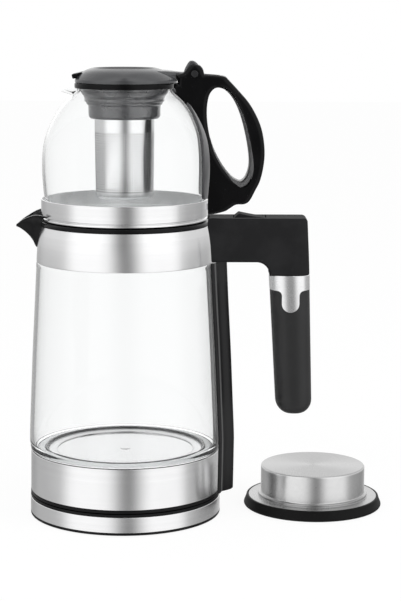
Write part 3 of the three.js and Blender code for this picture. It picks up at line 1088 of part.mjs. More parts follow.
// Teapot lid: shell with arm and thumb lug, inner cover, and front tab
const lidRadius = rimRingRadius - LID_SETBACK;
const hingeX = rimRingRadius + HINGE_FROM_RING;
const hingeHeight = rimRingTop + HINGE_ABOVE_RIM;
const skirtBottom = rimRingTop + CLEARANCE;
const lidOuter = [
  [lidRadius, skirtBottom], [lidRadius, skirtBottom + LID_SKIRT_HEIGHT],
  ...lidShares.map(([radius, height]) => [radius * lidRadius, skirtBottom + height * LID_HEIGHT]),
];
const lidUnder = lidOuter.slice(3).map(([radius, height]) => [
  Math.max(radius - LID_SHELL / 2, 0), height - LID_SHELL,
]);
const lidCeiling = lidUnder[lidUnder.length - 1][1];
const lidSkirtInner = lidRadius - LID_SKIRT_WALL;
const lidShell = turned([
  [0, lidCeiling], ...lidUnder.slice(0, -1).reverse(),
  [lidSkirtInner, skirtBottom + LID_SKIRT_HEIGHT + CLEARANCE], [lidSkirtInner, skirtBottom], ...lidOuter,
]);
const lidArmBottom = hingeHeight - LID_ARM_DROP;
const lidArmTop = lidArmBottom + LID_ARM_THICKNESS;
const lidArmStart = lidRadius - LID_ARM_INSET;
const lug = lugShares.map(([x, z]) => [hingeX + x * KNUCKLE_RADIUS, hingeHeight + z * LUG_HEIGHT]);
const knuckleUnder = knuckleTurns.map((turn) => {
  const angle = turn * 2 * Math.PI;
  return [hingeX + KNUCKLE_RADIUS * Math.cos(angle), hingeHeight + KNUCKLE_RADIUS * Math.sin(angle)];
});
const armOutline = [
  [lidArmStart, lidArmBottom], ...knuckleUnder, ...lug,
  [hingeX - LUG_ROOT_FROM_PIN, lidArmTop], [lidArmStart, lidArmTop],
].map(([x, z]) => new THREE.Vector2(x, z));
const hingeBoreHalf = TEAPOT_HANDLE_HALF_WIDTH + CUT_OVERRUN;
const hingeBore = alongY(
  disc(HINGE_PIN_RADIUS + CLEARANCE, -hingeBoreHalf, hingeBoreHalf, SMALL_ROUND_STEPS),
).translate([hingeX, 0, hingeHeight]);
const underLid = turned([
  [0, rimRingBottom], [lidSkirtInner, rimRingBottom], [lidSkirtInner, skirtBottom + LID_SKIRT_HEIGHT],
  ...lidUnder.slice(0, -1), [0, lidCeiling],
]);
add(teapot, 'teapot_lid', LID_GREY,
  lidShell.add(plate(armOutline, LID_ARM_HALF_WIDTH).subtract(underLid)).subtract(hingeBore));
const coverBottom = infuserTop + CLEARANCE;
add(teapot, 'lid_inner_cover', LID_GREY,
  disc(lidRadius - LID_COVER_SETBACK, coverBottom, coverBottom + LID_COVER_THICKNESS));

const tabBottom = skirtBottom + TAB_RISE;
const tabClear = turned([[0, tabBottom - CUT_OVERRUN], [lidRadius + CLEARANCE, tabBottom - CUT_OVERRUN],
  ...lidOuter.slice(1).map(([radius, height]) => [radius ? radius + CLEARANCE : 0, height + CLEARANCE])]);
const tab = block(
  [-lidRadius - TAB_PROUD, -TAB_HALF_WIDTH, tabBottom],
  [-lidRadius + TAB_INSET, TAB_HALF_WIDTH, tabBottom + TAB_THICKNESS],
);
add(teapot, 'lid_front_tab', GLOSS_BLACK, tab.subtract(tabClear));

const pinShoulder = TEAPOT_HANDLE_HALF_WIDTH + CLEARANCE;
const pinEnd = pinShoulder + HINGE_PIN_HEAD_THICKNESS;
add(teapot, 'lid_hinge_pin', ZINC_STEEL, alongY(turned([
  [0, -pinEnd], [HINGE_PIN_HEAD_RADIUS, -pinEnd], [HINGE_PIN_HEAD_RADIUS, -pinShoulder],
  [HINGE_PIN_RADIUS, -pinShoulder], [HINGE_PIN_RADIUS, pinShoulder], [HINGE_PIN_HEAD_RADIUS, pinShoulder],
  [HINGE_PIN_HEAD_RADIUS, pinEnd], [0, pinEnd],
], SMALL_ROUND_STEPS))).position.set(hingeX, 0, hingeHeight);

// Teapot handle: a loop with ears for the hinge and a saddle that hugs the glass
const handleReach = bowlRadius + TEAPOT_HANDLE_PROUD;
const handleTop = hingeHeight - HANDLE_TOP_DROP;
const handlePoint = ([x, z]) => new THREE.Vector2(x * handleReach, z * handleTop);
const ears = earShares.map(([x, z]) =>
  new THREE.Vector2(hingeX + x * KNUCKLE_RADIUS, hingeHeight + z * EAR_HEIGHT));
const handleOutline = [
  ...teapotHandleShares.map(handlePoint), ...ears, ...teapotHandleHeadShares.map(handlePoint),
];
const loop = plate(handleOutline, TEAPOT_HANDLE_HALF_WIDTH, {
  hole: teapotHandleHoleShares.map(handlePoint), edge: TEAPOT_HANDLE_EDGE,
});
const grown = (profile, by) => movedIn(profile, -by);
const aboveCup = (profile) => profile.filter(([, height]) => height > CUP_HEIGHT + CLEARANCE);
const bowlClear = turned([
  [0, 0], [cupRadius + CLEARANCE, 0], [cupRadius + CLEARANCE, CUP_HEIGHT + CLEARANCE],
  ...aboveCup(grown(bowlOuter, CLEARANCE)),
  [neckOuter + CLEARANCE, rimRingBottom - CLEARANCE], [rimRingRadius + CLEARANCE, rimRingBottom - CLEARANCE],
  [rimRingRadius + CLEARANCE, rimRingTop + LID_HEIGHT], [0, rimRingTop + LID_HEIGHT],
]);
const saddleWall = turned([
  ...aboveCup(bowlOuter), ...aboveCup(grown(bowlOuter, CLEARANCE + SADDLE_THICKNESS)).reverse(),
]);
const saddleHalf = saddleShares.map(([y, z]) => [y * SADDLE_HALF_WIDTH, z * handleTop]);
const saddleFront = [...saddleHalf, ...saddleHalf.map(([y, z]) => [-y, z]).reverse()];
const saddleMask = plate(saddleFront.map(([y, z]) => new THREE.Vector2(y, z)), handleReach)
  .rotate([0, 0, 90]).intersect(block([0, -cupRadius, 0], [handleReach, cupRadius, handleTop * 2]));
const slotHalf = LID_ARM_HALF_WIDTH + HINGE_SIDE_CLEARANCE;
const handleSlot = block(
  [hingeX - HANDLE_SLOT_FRONT, -slotHalf, hingeHeight - HANDLE_SLOT_DEPTH],
  [hingeX + HANDLE_SLOT_LENGTH, slotHalf, hingeHeight + LUG_HEIGHT * 2],
);
const bracketStart = cupRadius + CLEARANCE;
const bracketBox = (grow) => block(
  [bracketStart - grow, -BRACKET_HALF_WIDTH - grow, BRACKET_RISE - grow],
  [bracketStart + BRACKET_LENGTH + grow, BRACKET_HALF_WIDTH + grow, BRACKET_RISE + BRACKET_HEIGHT + grow],
);
add(teapot, 'teapot_handle', GLOSS_BLACK, loop.add(saddleWall.intersect(saddleMask))
  .subtract(bowlClear).subtract(handleSlot).subtract(hingeBore).subtract(bracketBox(CLEARANCE)));
add(teapot, 'handle_bracket', ZINC_STEEL, bracketBox(0));

// Kettle lid on the table: steel cap, rubber ring and the disc that closes it below
const lidSealRadius = mouthRadius - LID_SEAL_CLEARANCE;
const looseFlangeRadius = lidSealRadius - LID_SEAL_FLARE - LID_SEAL_TOP_WIDTH - CLEARANCE;
const looseTopRadius = looseFlangeRadius - LOOSE_LID_FLANGE_WIDTH;
looseLid.position.set(BASE_RADIUS + LOOSE_LID_FROM_BASE, LOOSE_LID_Y, 0);
const flangeUnder = LOOSE_LID_FLANGE_HEIGHT - LOOSE_LID_SHEET;
const stepOuter = looseTopRadius + LOOSE_LID_STEP_WIDTH;
const capInner = looseTopRadius - LOOSE_LID_SHEET;
add(looseLid, 'kettle_lid_cap', BRUSHED_STEEL, turned([
  [0, LOOSE_LID_HEIGHT], [looseTopRadius - LOOSE_LID_EDGE, LOOSE_LID_HEIGHT],
  [looseTopRadius, LOOSE_LID_HEIGHT - LOOSE_LID_EDGE],
  [looseTopRadius, LOOSE_LID_FLANGE_HEIGHT + LOOSE_LID_STEP_HEIGHT + LOOSE_LID_EDGE],
  [looseTopRadius + LOOSE_LID_EDGE, LOOSE_LID_FLANGE_HEIGHT + LOOSE_LID_STEP_HEIGHT],
  [stepOuter, LOOSE_LID_FLANGE_HEIGHT + LOOSE_LID_STEP_HEIGHT], [stepOuter, LOOSE_LID_FLANGE_HEIGHT],
  [looseFlangeRadius, LOOSE_LID_FLANGE_HEIGHT], [looseFlangeRadius, flangeUnder],
  [capInner, flangeUnder], [capInner, LOOSE_LID_HEIGHT - LOOSE_LID_SHEET * 2],
  [capInner - LOOSE_LID_SHEET, LOOSE_LID_HEIGHT - LOOSE_LID_SHEET], [0, LOOSE_LID_HEIGHT - LOOSE_LID_SHEET],
]));
const sealSeat = flangeUnder - CLEARANCE;
const sealInner = looseFlangeRadius - LID_SEAL_FOOT_WIDTH + LID_SEAL_TOP_WIDTH;
const sealLip = looseFlangeRadius + CLEARANCE;
add(looseLid, 'kettle_lid_seal', RUBBER_BLACK, turned([
  [sealInner, 0], [lidSealRadius - LID_SEAL_SOLE / 2, 0], [lidSealRadius, LID_SEAL_SOLE],
  [sealLip + LID_SEAL_TOP_WIDTH, LOOSE_LID_FLANGE_HEIGHT], [sealLip, LOOSE_LID_FLANGE_HEIGHT],
  [sealLip, sealSeat], [sealInner, sealSeat],
]));
add(looseLid, 'kettle_lid_disc', BRUSHED_STEEL,
  disc(sealInner - CLEARANCE, LID_DISC_RISE, LID_DISC_RISE + LID_DISC_THICKNESS));

export default object;
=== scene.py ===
# Electric kettle with a glass teapot on top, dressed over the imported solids. Profiles are in millimetres.
import math
import bmesh
import bpy
from mathutils import Matrix, Vector


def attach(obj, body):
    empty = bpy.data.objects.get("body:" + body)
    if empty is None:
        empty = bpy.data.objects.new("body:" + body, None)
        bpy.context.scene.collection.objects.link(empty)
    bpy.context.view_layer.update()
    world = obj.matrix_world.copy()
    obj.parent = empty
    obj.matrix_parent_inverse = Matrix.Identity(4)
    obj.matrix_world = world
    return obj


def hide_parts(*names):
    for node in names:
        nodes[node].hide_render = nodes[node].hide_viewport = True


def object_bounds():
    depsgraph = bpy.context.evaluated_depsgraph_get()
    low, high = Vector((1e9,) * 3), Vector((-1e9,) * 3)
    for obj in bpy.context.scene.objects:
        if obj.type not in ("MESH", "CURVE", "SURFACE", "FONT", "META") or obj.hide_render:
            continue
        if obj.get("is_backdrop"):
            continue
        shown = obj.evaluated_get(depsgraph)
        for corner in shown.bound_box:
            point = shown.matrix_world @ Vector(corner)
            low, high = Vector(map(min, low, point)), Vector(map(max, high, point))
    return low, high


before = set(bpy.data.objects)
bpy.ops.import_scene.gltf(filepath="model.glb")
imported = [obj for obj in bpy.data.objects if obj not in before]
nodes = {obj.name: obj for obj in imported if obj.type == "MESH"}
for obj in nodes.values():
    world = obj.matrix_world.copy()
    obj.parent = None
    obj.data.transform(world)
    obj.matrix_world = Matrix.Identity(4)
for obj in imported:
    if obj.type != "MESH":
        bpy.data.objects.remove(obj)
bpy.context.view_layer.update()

scene = bpy.context.scene


# STUDIO
# Camera at the photograph's viewing angle: a long lens a metre and a half away, a little above the
# table, looking down by about nine degrees.
yaw, pitch, roll = math.radians(0.485), math.radians(9.379), math.radians(0.240)
camera_place = (0.0486, -1.4666, 0.4166)
across = Vector((math.cos(yaw), -math.sin(yaw), 0))
ahead = Vector((math.sin(yaw) * math.cos(pitch), math.cos(yaw) * math.cos(pitch), -math.sin(pitch)))
upward = across.cross(ahead)
lens = bpy.data.cameras.new("studio_camera")
lens.lens, lens.sensor_width, lens.clip_start, lens.clip_end = 110.16, 36, 0.05, 50
camera = bpy.data.objects.new("studio_camera", lens)
turned_across = across * math.cos(roll) + upward * math.sin(roll)
turned_upward = upward * math.cos(roll) - across * math.sin(roll)
camera.matrix_world = Matrix((*zip(turned_across, turned_upward, -ahead, camera_place), (0, 0, 0, 1)))
scene.collection.objects.link(camera)
scene.camera = camera
scene.view_settings.view_transform = "Standard"


class Value:
    """What comes out of one socket, with arithmetic that adds Math nodes."""

    def __init__(self, recipe, socket):
        self.recipe, self.socket = recipe, socket

    def of(self, output):
        """What comes out of another socket of the same node."""
        return Value(self.recipe, self.socket.node.outputs[output])

    def worked(self, operation, *others):
        return self.recipe.node("ShaderNodeMath", {"operation": operation}, dict(enumerate((self, *others))))

    def __add__(self, other):
        return self.worked("ADD", other)

    def __mul__(self, other):
        return self.worked("MULTIPLY", other)

    def __truediv__(self, other):
        return self.worked("DIVIDE", other)

    def __pow__(self, other):
        return self.worked("POWER", other)

    __radd__, __rmul__ = __add__, __mul__

    def between(self, low, high, first=0.0, last=1.0):
        """first where this is low, last where it is high, and held outside."""
        limits = {0: self, 1: low, 2: high, 3: first, 4: last}
        return self.recipe.node("ShaderNodeMapRange", {"clamp": True}, limits)


class Recipe:
    """The nodes of one finish, of the table or of the sky."""

    def __init__(self, owner):
        owner.use_nodes = True
        self.owner, self.tree = owner, owner.node_tree
        self.tree.nodes.clear()

    def node(self, kind, settings=None, inputs=None, output=0):
        """Adds a node with its settings, then the values or links of its sockets."""
        made = self.tree.nodes.new(kind)
        settings = dict(settings or {})
        stops = settings.pop("stops", [])
        for key, value in settings.items():
            setattr(made, key, value)
        if stops:
            ramp = made.color_ramp.elements
            for _ in stops[2:]:
                ramp.new(0.5)
            for element, (place, _) in zip(ramp, stops):
                element.position = place
            for element, (_, shade) in zip(ramp, stops):
                element.color = (shade, shade, shade, 1)
        for key, value in (inputs or {}).items():
            if isinstance(value, Value):
                self.tree.links.new(value.socket, made.inputs[key])
            else:
                made.inputs[key].default_value = value
        return Value(self, made.outputs[output])

    def blended(self, share, first, second):
        """A colour from first to second as share goes from 0 to 1."""
        first, second = [(*c, 1) if isinstance(c, tuple) and len(c) == 3 else c for c in (first, second)]
        return self.node("ShaderNodeMix", {"data_type": "RGBA"}, {0: share, 6: first, 7: second}, output=2)

    def out(self, surface, kind="ShaderNodeOutputMaterial"):
        """Links the surface to the output and gives back the material or the sky."""
        end = self.tree.nodes.new(kind)
        self.tree.links.new(surface.socket, end.inputs["Surface"])
        return self.owner


# White studio tent with two bright side walls, a grey gap where the camera stands and darker flags
# behind them, so that turned metal shows upright bands. The flags are paler above the horizon. Plain
# white is what the camera sees, through glass too.
TENT_POWER = 1.4
sky = Recipe(bpy.data.worlds.new("studio_tent"))
scene.world = sky.owner
facing = sky.node("ShaderNodeSeparateXYZ", inputs={0: sky.node("ShaderNodeTexCoord", output="Generated")})
turn = sky.node("ShaderNodeMath", {"operation": "ARCTAN2"}, {0: facing, 1: facing.of("Y") * -1})

# How bright the tent is at so many degrees round from the camera, near the table and higher up
low_walls = [
    (-180, 0.80), (-160, 0.42), (-148, 0.38), (-130, 0.50), (-106, 0.52), (-92, 0.55), (-84, 0.62),
    (-76, 0.86), (-68, 1.12), (-60, 1.18), (-34, 1.18), (-20, 1.10), (-12, 0.86), (-5, 0.54), (1, 0.35),
    (6, 0.28), (11, 0.36), (19, 0.70), (26, 0.98), (34, 1.16), (68, 1.14), (76, 0.95), (83, 0.60),
    (96, 0.43), (134, 0.34), (152, 0.5), (180, 0.80),
]
high_walls = [
    (-180, 1.30), (-166, 1.22), (-150, 0.95), (-96, 0.92), (-84, 1.0), (-74, 1.25), (-62, 1.34),
    (-32, 1.34), (-20, 1.12), (-12, 0.66), (-5, 0.34), (1, 0.25), (7, 0.35), (14, 0.66), (21, 1.02),
    (29, 1.32), (66, 1.34), (76, 1.2), (84, 1.0), (96, 0.9), (118, 0.88), (150, 0.95), (166, 1.22),
    (180, 1.30),
]
low_shade, high_shade = (sky.node(
    "ShaderNodeValToRGB",
    {"stops": [(degrees / 360 + 0.5, brightness / TENT_POWER) for degrees, brightness in ramp]},
    {0: turn / (2 * math.pi) + 0.5},
) for ramp in (low_walls, high_walls))
walls = sky.blended(facing.of("Z").between(-0.13, 0.05), low_shade, high_shade)
ray = sky.node("ShaderNodeLightPath", output="Is Camera Ray")
through_glass = ray.of("Is Transmission Ray") * ray.of("Glossy Depth").between(0.2, 0.8, 1.0, 0.0)
clear_view = ray.worked("MAXIMUM", through_glass)
soft = sky.blended(ray.of("Is Diffuse Ray"), walls, (0.52, 0.52, 0.52))
tent = sky.blended(clear_view, soft, (1 / TENT_POWER,) * 3)
sky.out(sky.node("ShaderNodeBackground", inputs={0: tent, 1: TENT_POWER}), "ShaderNodeOutputWorld")

lamp_aim = Vector((0.03, 0, 0.15))
for lamp_name, place, size, power in (
    ("left_lamp", (-0.9, -1.1, 1.5), 1.3, 5.0),
    ("right_lamp", (1.3, -0.9, 1.1), 1.2, 10.0),
):
    lamp = bpy.data.objects.new(lamp_name, bpy.data.lights.new(lamp_name, "AREA"))
    lamp.data.shape, lamp.data.size, lamp.data.energy = "DISK", size, power
    lamp.location = place
    lamp.rotation_mode = "QUATERNION"
    lamp.rotation_quaternion = (Vector(place) - lamp_aim).to_track_quat("Z", "Y")
    lamp.visible_camera = lamp.visible_glossy = lamp.visible_transmission = False
    scene.collection.objects.link(lamp)

# Plain pale table. It reads white to the camera, keeps a faint shadow and leaves the metal's
# reflections to the tent. From below it is clear, so that the underside can be looked at.
table_sheet = bmesh.new()
just_below = Matrix.Translation((0, 0, -0.0004))
bmesh.ops.create_grid(table_sheet, x_segments=1, y_segments=1, size=6, matrix=just_below)
table_mesh = bpy.data.meshes.new("table_top")
table_sheet.to_mesh(table_mesh)
table_sheet.free()
table_top = bpy.data.objects.new("table_top", table_mesh)
scene.collection.objects.link(table_top)
paint = Recipe(bpy.data.materials.new("table_white"))
ray = paint.node("ShaderNodeLightPath", output="Is Camera Ray")
white = paint.node("ShaderNodeEmission", inputs={0: (1, 1, 1, 1), 1: 1.03})
matt = paint.node("ShaderNodeBsdfDiffuse", inputs={0: (0.86, 0.86, 0.86, 1)})
white_share = ray.worked("MAXIMUM", ray.of("Is Transmission Ray")) * 0.88
surface = paint.node("ShaderNodeMixShader", inputs={0: white_share, 1: matt, 2: white})
bounced = ray.of("Is Transmission Ray") * ray.of("Glossy Depth").between(0.2, 0.8)
open_share = bounced.worked("MAXIMUM", paint.node("ShaderNodeNewGeometry", output="Backfacing"))
open_air = paint.node("ShaderNodeBsdfTransparent")
paint.out(paint.node("ShaderNodeMixShader", inputs={0: open_share, 1: surface, 2: open_air}))
table_mesh.materials.append(paint.owner)
table_top.visible_glossy = False
table_top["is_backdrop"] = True


# POWER BASE
# Flat round base that stays on the table. A brushed steel band is pressed round a moulded black deck,
# and the bottom plate closes it from below with three screws and four rubber feet.
MM = 0.001


def steel(name, colour=(0.82, 0.82, 0.825), rough=0.23, lines=1.0, upright=False, stain=0.03, level=()):
    """Brushed stainless steel; its lines run round the piece, or upright. Level faces whose heights lie in
    one of the level ranges, in metres, get painted shade: a darker colour that dims their reflections."""
    made = Recipe(bpy.data.materials.new(name))
    place = made.node("ShaderNodeTexCoord", output="Object")
    if upright:
        stretched = place
        scale = (2600, 2600, 30)
    else:
        parts = made.node("ShaderNodeSeparateXYZ", inputs={0: place})
        reach = (parts * parts + parts.of("Y") * parts.of("Y")) ** 0.5
        stretched = made.node("ShaderNodeCombineXYZ", inputs={0: reach, 1: 0.0, 2: parts.of("Z")})
        scale = (2600, 1, 2600)
    brushed = made.node("ShaderNodeMapping", inputs={0: stretched, 3: scale})
    fine = made.node("ShaderNodeTexNoise", inputs={
        "Vector": brushed, "Scale": 1.0, "Detail": 3.0, "Roughness": 0.7})
    broad = made.node("ShaderNodeTexNoise", inputs={"Vector": place, "Scale": 38.0, "Detail": 4.0})
    tone = made.node("ShaderNodeMapping", inputs={0: stretched, 3: tuple(s * 0.12 for s in scale)})
    bands = made.node("ShaderNodeTexNoise", inputs={"Vector": tone, "Scale": 1.0, "Detail": 2.0})
    dark = tuple(c * (1 - stain * 2) for c in colour)
    tint = made.blended((broad * 0.5 + bands * 0.5).between(0.35, 0.65), dark, colour)
    fade = 0.0006
    # Painted shade: level faces in these height ranges are darkened, so that they reflect less light
    for low, high in level:
        share = parts.of("Z").between(low - fade, low) * parts.of("Z").between(high, high + fade, 1.0, 0.0)
        tint = made.blended(share, tint, tuple(c * 0.6 for c in colour))
    relief = made.node("ShaderNodeBump", inputs={
        "Strength": 0.10 * lines, "Distance": 0.00002, "Height": fine})
    return made.out(made.node("ShaderNodeBsdfPrincipled", inputs={
        "Base Color": tint,
        "Metallic": 1.0,
        "Roughness": (fine * 0.12 * lines + broad * 0.08) + (rough - 0.10),
        "Anisotropic": 0.75,
        "Anisotropic Rotation": 0.25,
        "Normal": relief,
    }))


def moulded(name, colour, rough, grain=1.0, shine=0.4, coat=0.0, metal=0.0):
    """Moulded plastic or rubber: fine grain, faint handling marks and a slightly uneven gloss."""
    made = Recipe(bpy.data.materials.new(name))
    place = made.node("ShaderNodeTexCoord", output="Object")
    grainy = made.node("ShaderNodeTexNoise", inputs={"Vector": place, "Scale": 2400.0, "Detail": 2.0})
    cloudy = made.node("ShaderNodeTexNoise", inputs={
        "Vector": place, "Scale": 46.0, "Detail": 5.0, "Roughness": 0.6})
    pale = tuple(c * 1.25 + 0.0008 for c in colour)
    relief = made.node("ShaderNodeBump", inputs={
        "Strength": 0.16 * grain, "Distance": 0.00006, "Height": grainy})
    return made.out(made.node("ShaderNodeBsdfPrincipled", inputs={
        "Base Color": made.blended(cloudy.between(0.42, 0.68), colour, pale),
        "Metallic": metal,
        "Roughness": (cloudy * 0.14 + grainy * 0.05 * grain) + (rough - 0.09),
        "Specular IOR Level": shine,
        "Coat Weight": coat,
        "Coat Roughness": 0.12,
        "Normal": relief,
    }))


def turned(outline, steps=144, roundings=None, segments=4):
    """A body turned about Z from radius and height points. It ends on the axis or closes on itself.
    The roundings give corners, by their place in the outline, a radius."""
    bm = bmesh.new()
    corners = [bm.verts.new((radius, 0, height)) for radius, height in outline]
    for first, second in zip(corners, corners[1:]):
        bm.edges.new((first, second))
    if outline[0][0] or outline[-1][0]:
        bm.edges.new((corners[-1], corners[0]))
    for index, radius in (roundings or {}).items():
        bmesh.ops.bevel(bm, geom=[corners[index]], offset=radius, segments=segments, profile=0.5,
                        affect="VERTICES", material=-1)
    bmesh.ops.spin(bm, geom=bm.verts[:] + bm.edges[:], cent=(0, 0, 0), axis=(0, 0, 1), angle=2 * math.pi,
                   steps=steps, use_merge=True, use_duplicate=False)
    bmesh.ops.remove_doubles(bm, verts=bm.verts[:], dist=0.0005)
    bmesh.ops.recalc_face_normals(bm, faces=bm.faces[:])
    return bm


def moved(bm, place):
    """The same body, moved."""
    bmesh.ops.translate(bm, vec=place, verts=bm.verts[:])
    return bm


def laid(bm, axis, degrees):
    """The same body, turned about an axis through the middle."""
    tilt = Matrix.Rotation(math.radians(degrees), 3, axis)
    bmesh.ops.rotate(bm, cent=(0, 0, 0), matrix=tilt, verts=bm.verts[:])
    return bm


def as_mesh(name, bm):
    """The bmesh as an object, taken from millimetres to metres."""
    bmesh.ops.scale(bm, vec=(MM, MM, MM), verts=bm.verts[:])
    mesh = bpy.data.meshes.new(name)
    bm.to_mesh(mesh)
    bm.free()
    shape = bpy.data.objects.new(name, mesh)
    scene.collection.objects.link(shape)
    return shape


def carved(name, bm, *steps):
    """The bmesh after Boolean steps, each an operation and the body that cuts, joins or limits it."""
    shape = as_mesh(name, bm)
    tools = []
    for operation, tool_bm in steps:
        tool = as_mesh(name + "_tool", tool_bm)
        cut = shape.modifiers.new(operation.lower(), "BOOLEAN")
        cut.operation, cut.object, cut.solver = operation, tool, "EXACT"
        tools.append(tool)
    seen_shape = shape.evaluated_get(bpy.context.evaluated_depsgraph_get())
    made = bmesh.new()
    made.from_mesh(seen_shape.to_mesh())
    seen_shape.to_mesh_clear()
    for used in (shape, *tools):
        mesh = used.data
        bpy.data.objects.remove(used)
        bpy.data.meshes.remove(mesh)
    weld = 0.003
    bmesh.ops.scale(made, vec=(1 / MM,) * 3, verts=made.verts[:])
    bmesh.ops.remove_doubles(made, verts=made.verts[:], dist=weld)
    bmesh.ops.dissolve_degenerate(made, dist=weld, edges=made.edges[:])
    return made


def fitted(name, bm, finish, body, slot, *stands_for, sharp=32, centre=(0, 0, 0), edge=0.0, even=True):
    piece = as_mesh(name, moved(bm, centre))
    piece.data.shade_smooth()
    piece.data.set_sharp_from_angle(angle=math.radians(sharp))
    piece.data.materials.append(finish)
    if edge:
        bevel = piece.modifiers.new("eased edges", "BEVEL")
        bevel.width, bevel.segments = edge * MM, 2
        bevel.limit_method, bevel.angle_limit = "ANGLE", math.radians(40)
    if even:
        piece.modifiers.new("even shading", "WEIGHTED_NORMAL").keep_sharp = True
    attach(piece, body)
    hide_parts(*stands_for)
    return piece


def spread(count, radius, first):
    """Places at even turns on a circle round the middle, the first at so many degrees."""
    for k in range(count):
        angle = math.radians(first + 360 / count * k)
        yield radius * math.cos(angle), radius * math.sin(angle), 0


def dressed(finish, *names):
    """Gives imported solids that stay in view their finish."""
    for name in names:
        node = nodes[name]
        node.data.materials.clear()
        node.data.materials.append(finish)


LEAD_HEIGHT, FOOT_REACH, SCREW_REACH = 8.55, 62.5, 40
base_steel = steel("base_band_steel")
cover_black = moulded("cover_black", (0.004, 0.004, 0.0045), 0.34, shine=0.14)
foot_rubber = moulded("foot_rubber", (0.014, 0.014, 0.014), 0.72, grain=1.6)
screw_zinc = steel("screw_zinc", (0.62, 0.62, 0.63), 0.38, upright=True)
lead_hole = laid(turned([(0, -10), (4.9, -10), (4.9, 16), (0, 16)], steps=32), "X", -90)
moved(lead_hole, (0, 70, LEAD_HEIGHT))
band = turned([(76.6, 2.3), (77.5, 2.3), (77.5, 14.8), (76.6, 14.8)], roundings={1: 0.5, 2: 0.5}, segments=3)
fitted("base_band", carved("base_band", band, ("DIFFERENCE", lead_hole.copy())), base_steel,
       "power_base", "brushed_steel", "base_steel_band")
deck = turned([
    (13.3, 17.2), (13.3, 15), (74.4, 15), (74.4, 2.3), (76.4, 2.3), (76.4, 15.0), (77.3, 15.0), (77.3, 17.2),
    (70.5, 17.2), (69.5, 16.7), (24, 16.7), (22.5, 17.2),
], roundings={6: 0.25, 7: 0.5, 8: 0.4, 9: 0.4}, segments=2)
fitted("base_deck", carved("base_deck", deck, ("DIFFERENCE", lead_hole)), cover_black,
       "power_base", "satin_black", "base_top_housing")

plate = turned([
    (0, 0.5), (71, 0.5), (72, 1.2), (74, 1.2), (75, 0.3), (77.5, 0.3), (77.5, 2.15), (74.1, 2.15),
    (74.1, 3.5), (0, 3.5),
], roundings={5: 0.4})
pockets = []
for number, place in enumerate(spread(4, FOOT_REACH, 45), 1):
    pocket = turned([(0, 0), (6.3, 0), (6.3, 2.5), (0, 2.5)], steps=32)
    pockets.append(("DIFFERENCE", moved(pocket, place)))
    foot = turned([(0, 0), (6, 0), (6, 2.2), (0, 2.2)], steps=40, roundings={1: 0.5})
    fitted(f"foot_pad_{number}", foot, foot_rubber, "power_base", "rubber_black", f"base_foot_{number}",
           centre=place)
for place in spread(3, SCREW_REACH, 30):
    pocket = turned([(0, 0), (3.3, 0), (3.3, 2.6), (1.9, 2.6), (1.9, 5), (0, 5)], steps=32)
    pockets.append(("DIFFERENCE", moved(pocket, place)))
fitted("base_plate", carved("base_plate", plate, *pockets), cover_black,
       "power_base", "satin_black", "base_bottom_plate")
dressed(screw_zinc, "base_screw_1", "base_screw_2", "base_screw_3")

# Round connector in the middle of the deck: a moulded black boss with two brass sleeves that take the
# kettle's pin and ring. A rubber gland at the back is where the mains lead would enter.
contact_brass = steel("contact_brass", (0.64, 0.49, 0.22), 0.3, upright=True)
block_white = moulded("block_white", (0.62, 0.62, 0.6), 0.42)
boss = turned([
    (0, 9), (13, 9), (13, 12.2), (18, 12.2), (18, 14.7), (13, 14.7), (13, 25), (9.7, 25), (9.7, 15),
    (6.6, 15), (6.6, 25), (3.7, 25), (3.7, 13), (0, 13),
], steps=96, roundings={6: 0.8, 7: 0.4, 10: 0.4, 11: 0.5})
fitted("base_boss", boss, cover_black, "power_base", "satin_black", "base_connector")
gland = turned([(3.2, -6), (4.6, -6), (4.6, 0.9), (6, 0.9), (6, 2.5), (3.2, 2.5)], steps=48,
               roundings={3: 0.3, 4: 0.6})
fitted("lead_gland", laid(gland, "X", -90), foot_rubber, "power_base", "rubber_black", "base_cord_gland",
       centre=(0, 76.9, LEAD_HEIGHT))
dressed(contact_brass, "base_pin_sleeve", "base_ring_sleeve")
dressed(block_white, "base_terminal_block")


# KETTLE FOOT
# Moulded black cover that closes the kettle from below, with its rim showing under the lower band. The
# round connector and the heating plate's control hang inside it.
FOOT_HEIGHT = 17.5
cover = turned([
    (16, 0), (75.6, 0), (77.2, 0.5), (77.2, 2.6), (75.7, 2.6), (75.7, 6.6), (73.7, 6.6), (73.7, 2.2),
    (16, 2.2),
], roundings={1: 0.3, 2: 0.3, 3: 0.4}, segments=2)
fitted("foot_cover", cover, cover_black, "kettle", "satin_black", "kettle_bottom_cover",
       centre=(0, 0, FOOT_HEIGHT))
dressed(cover_black, "kettle_connector", "kettle_control", "heater_carrier")
dressed(contact_brass, "kettle_contact_pin", "kettle_contact_ring")
dressed(steel("element_steel", (0.36, 0.36, 0.37), 0.4, upright=True), "heating_element")

# Lower band: a strip of brushed stainless steel rolled and welded to a ring, a hair narrower at its
# top, with both edges turned in.
band_steel = steel("lower_band_steel")
spine_hole = laid(turned([(0, 0), (1.8, 0), (1.8, 20), (0, 20)], steps=24), "Y", 90)
moved(spine_hole, (70, 0, 37.8))
lower_band = turned([(76.2, 20.4), (77.1, 20.4), (76.7, 53.3), (75.8, 53.3)], steps=180,
                    roundings={1: 0.6, 2: 0.5})
fitted("lower_band", carved("lower_band", lower_band, ("DIFFERENCE", spine_hole)), band_steel,
       "kettle", "brushed_steel", "kettle_lower_band")

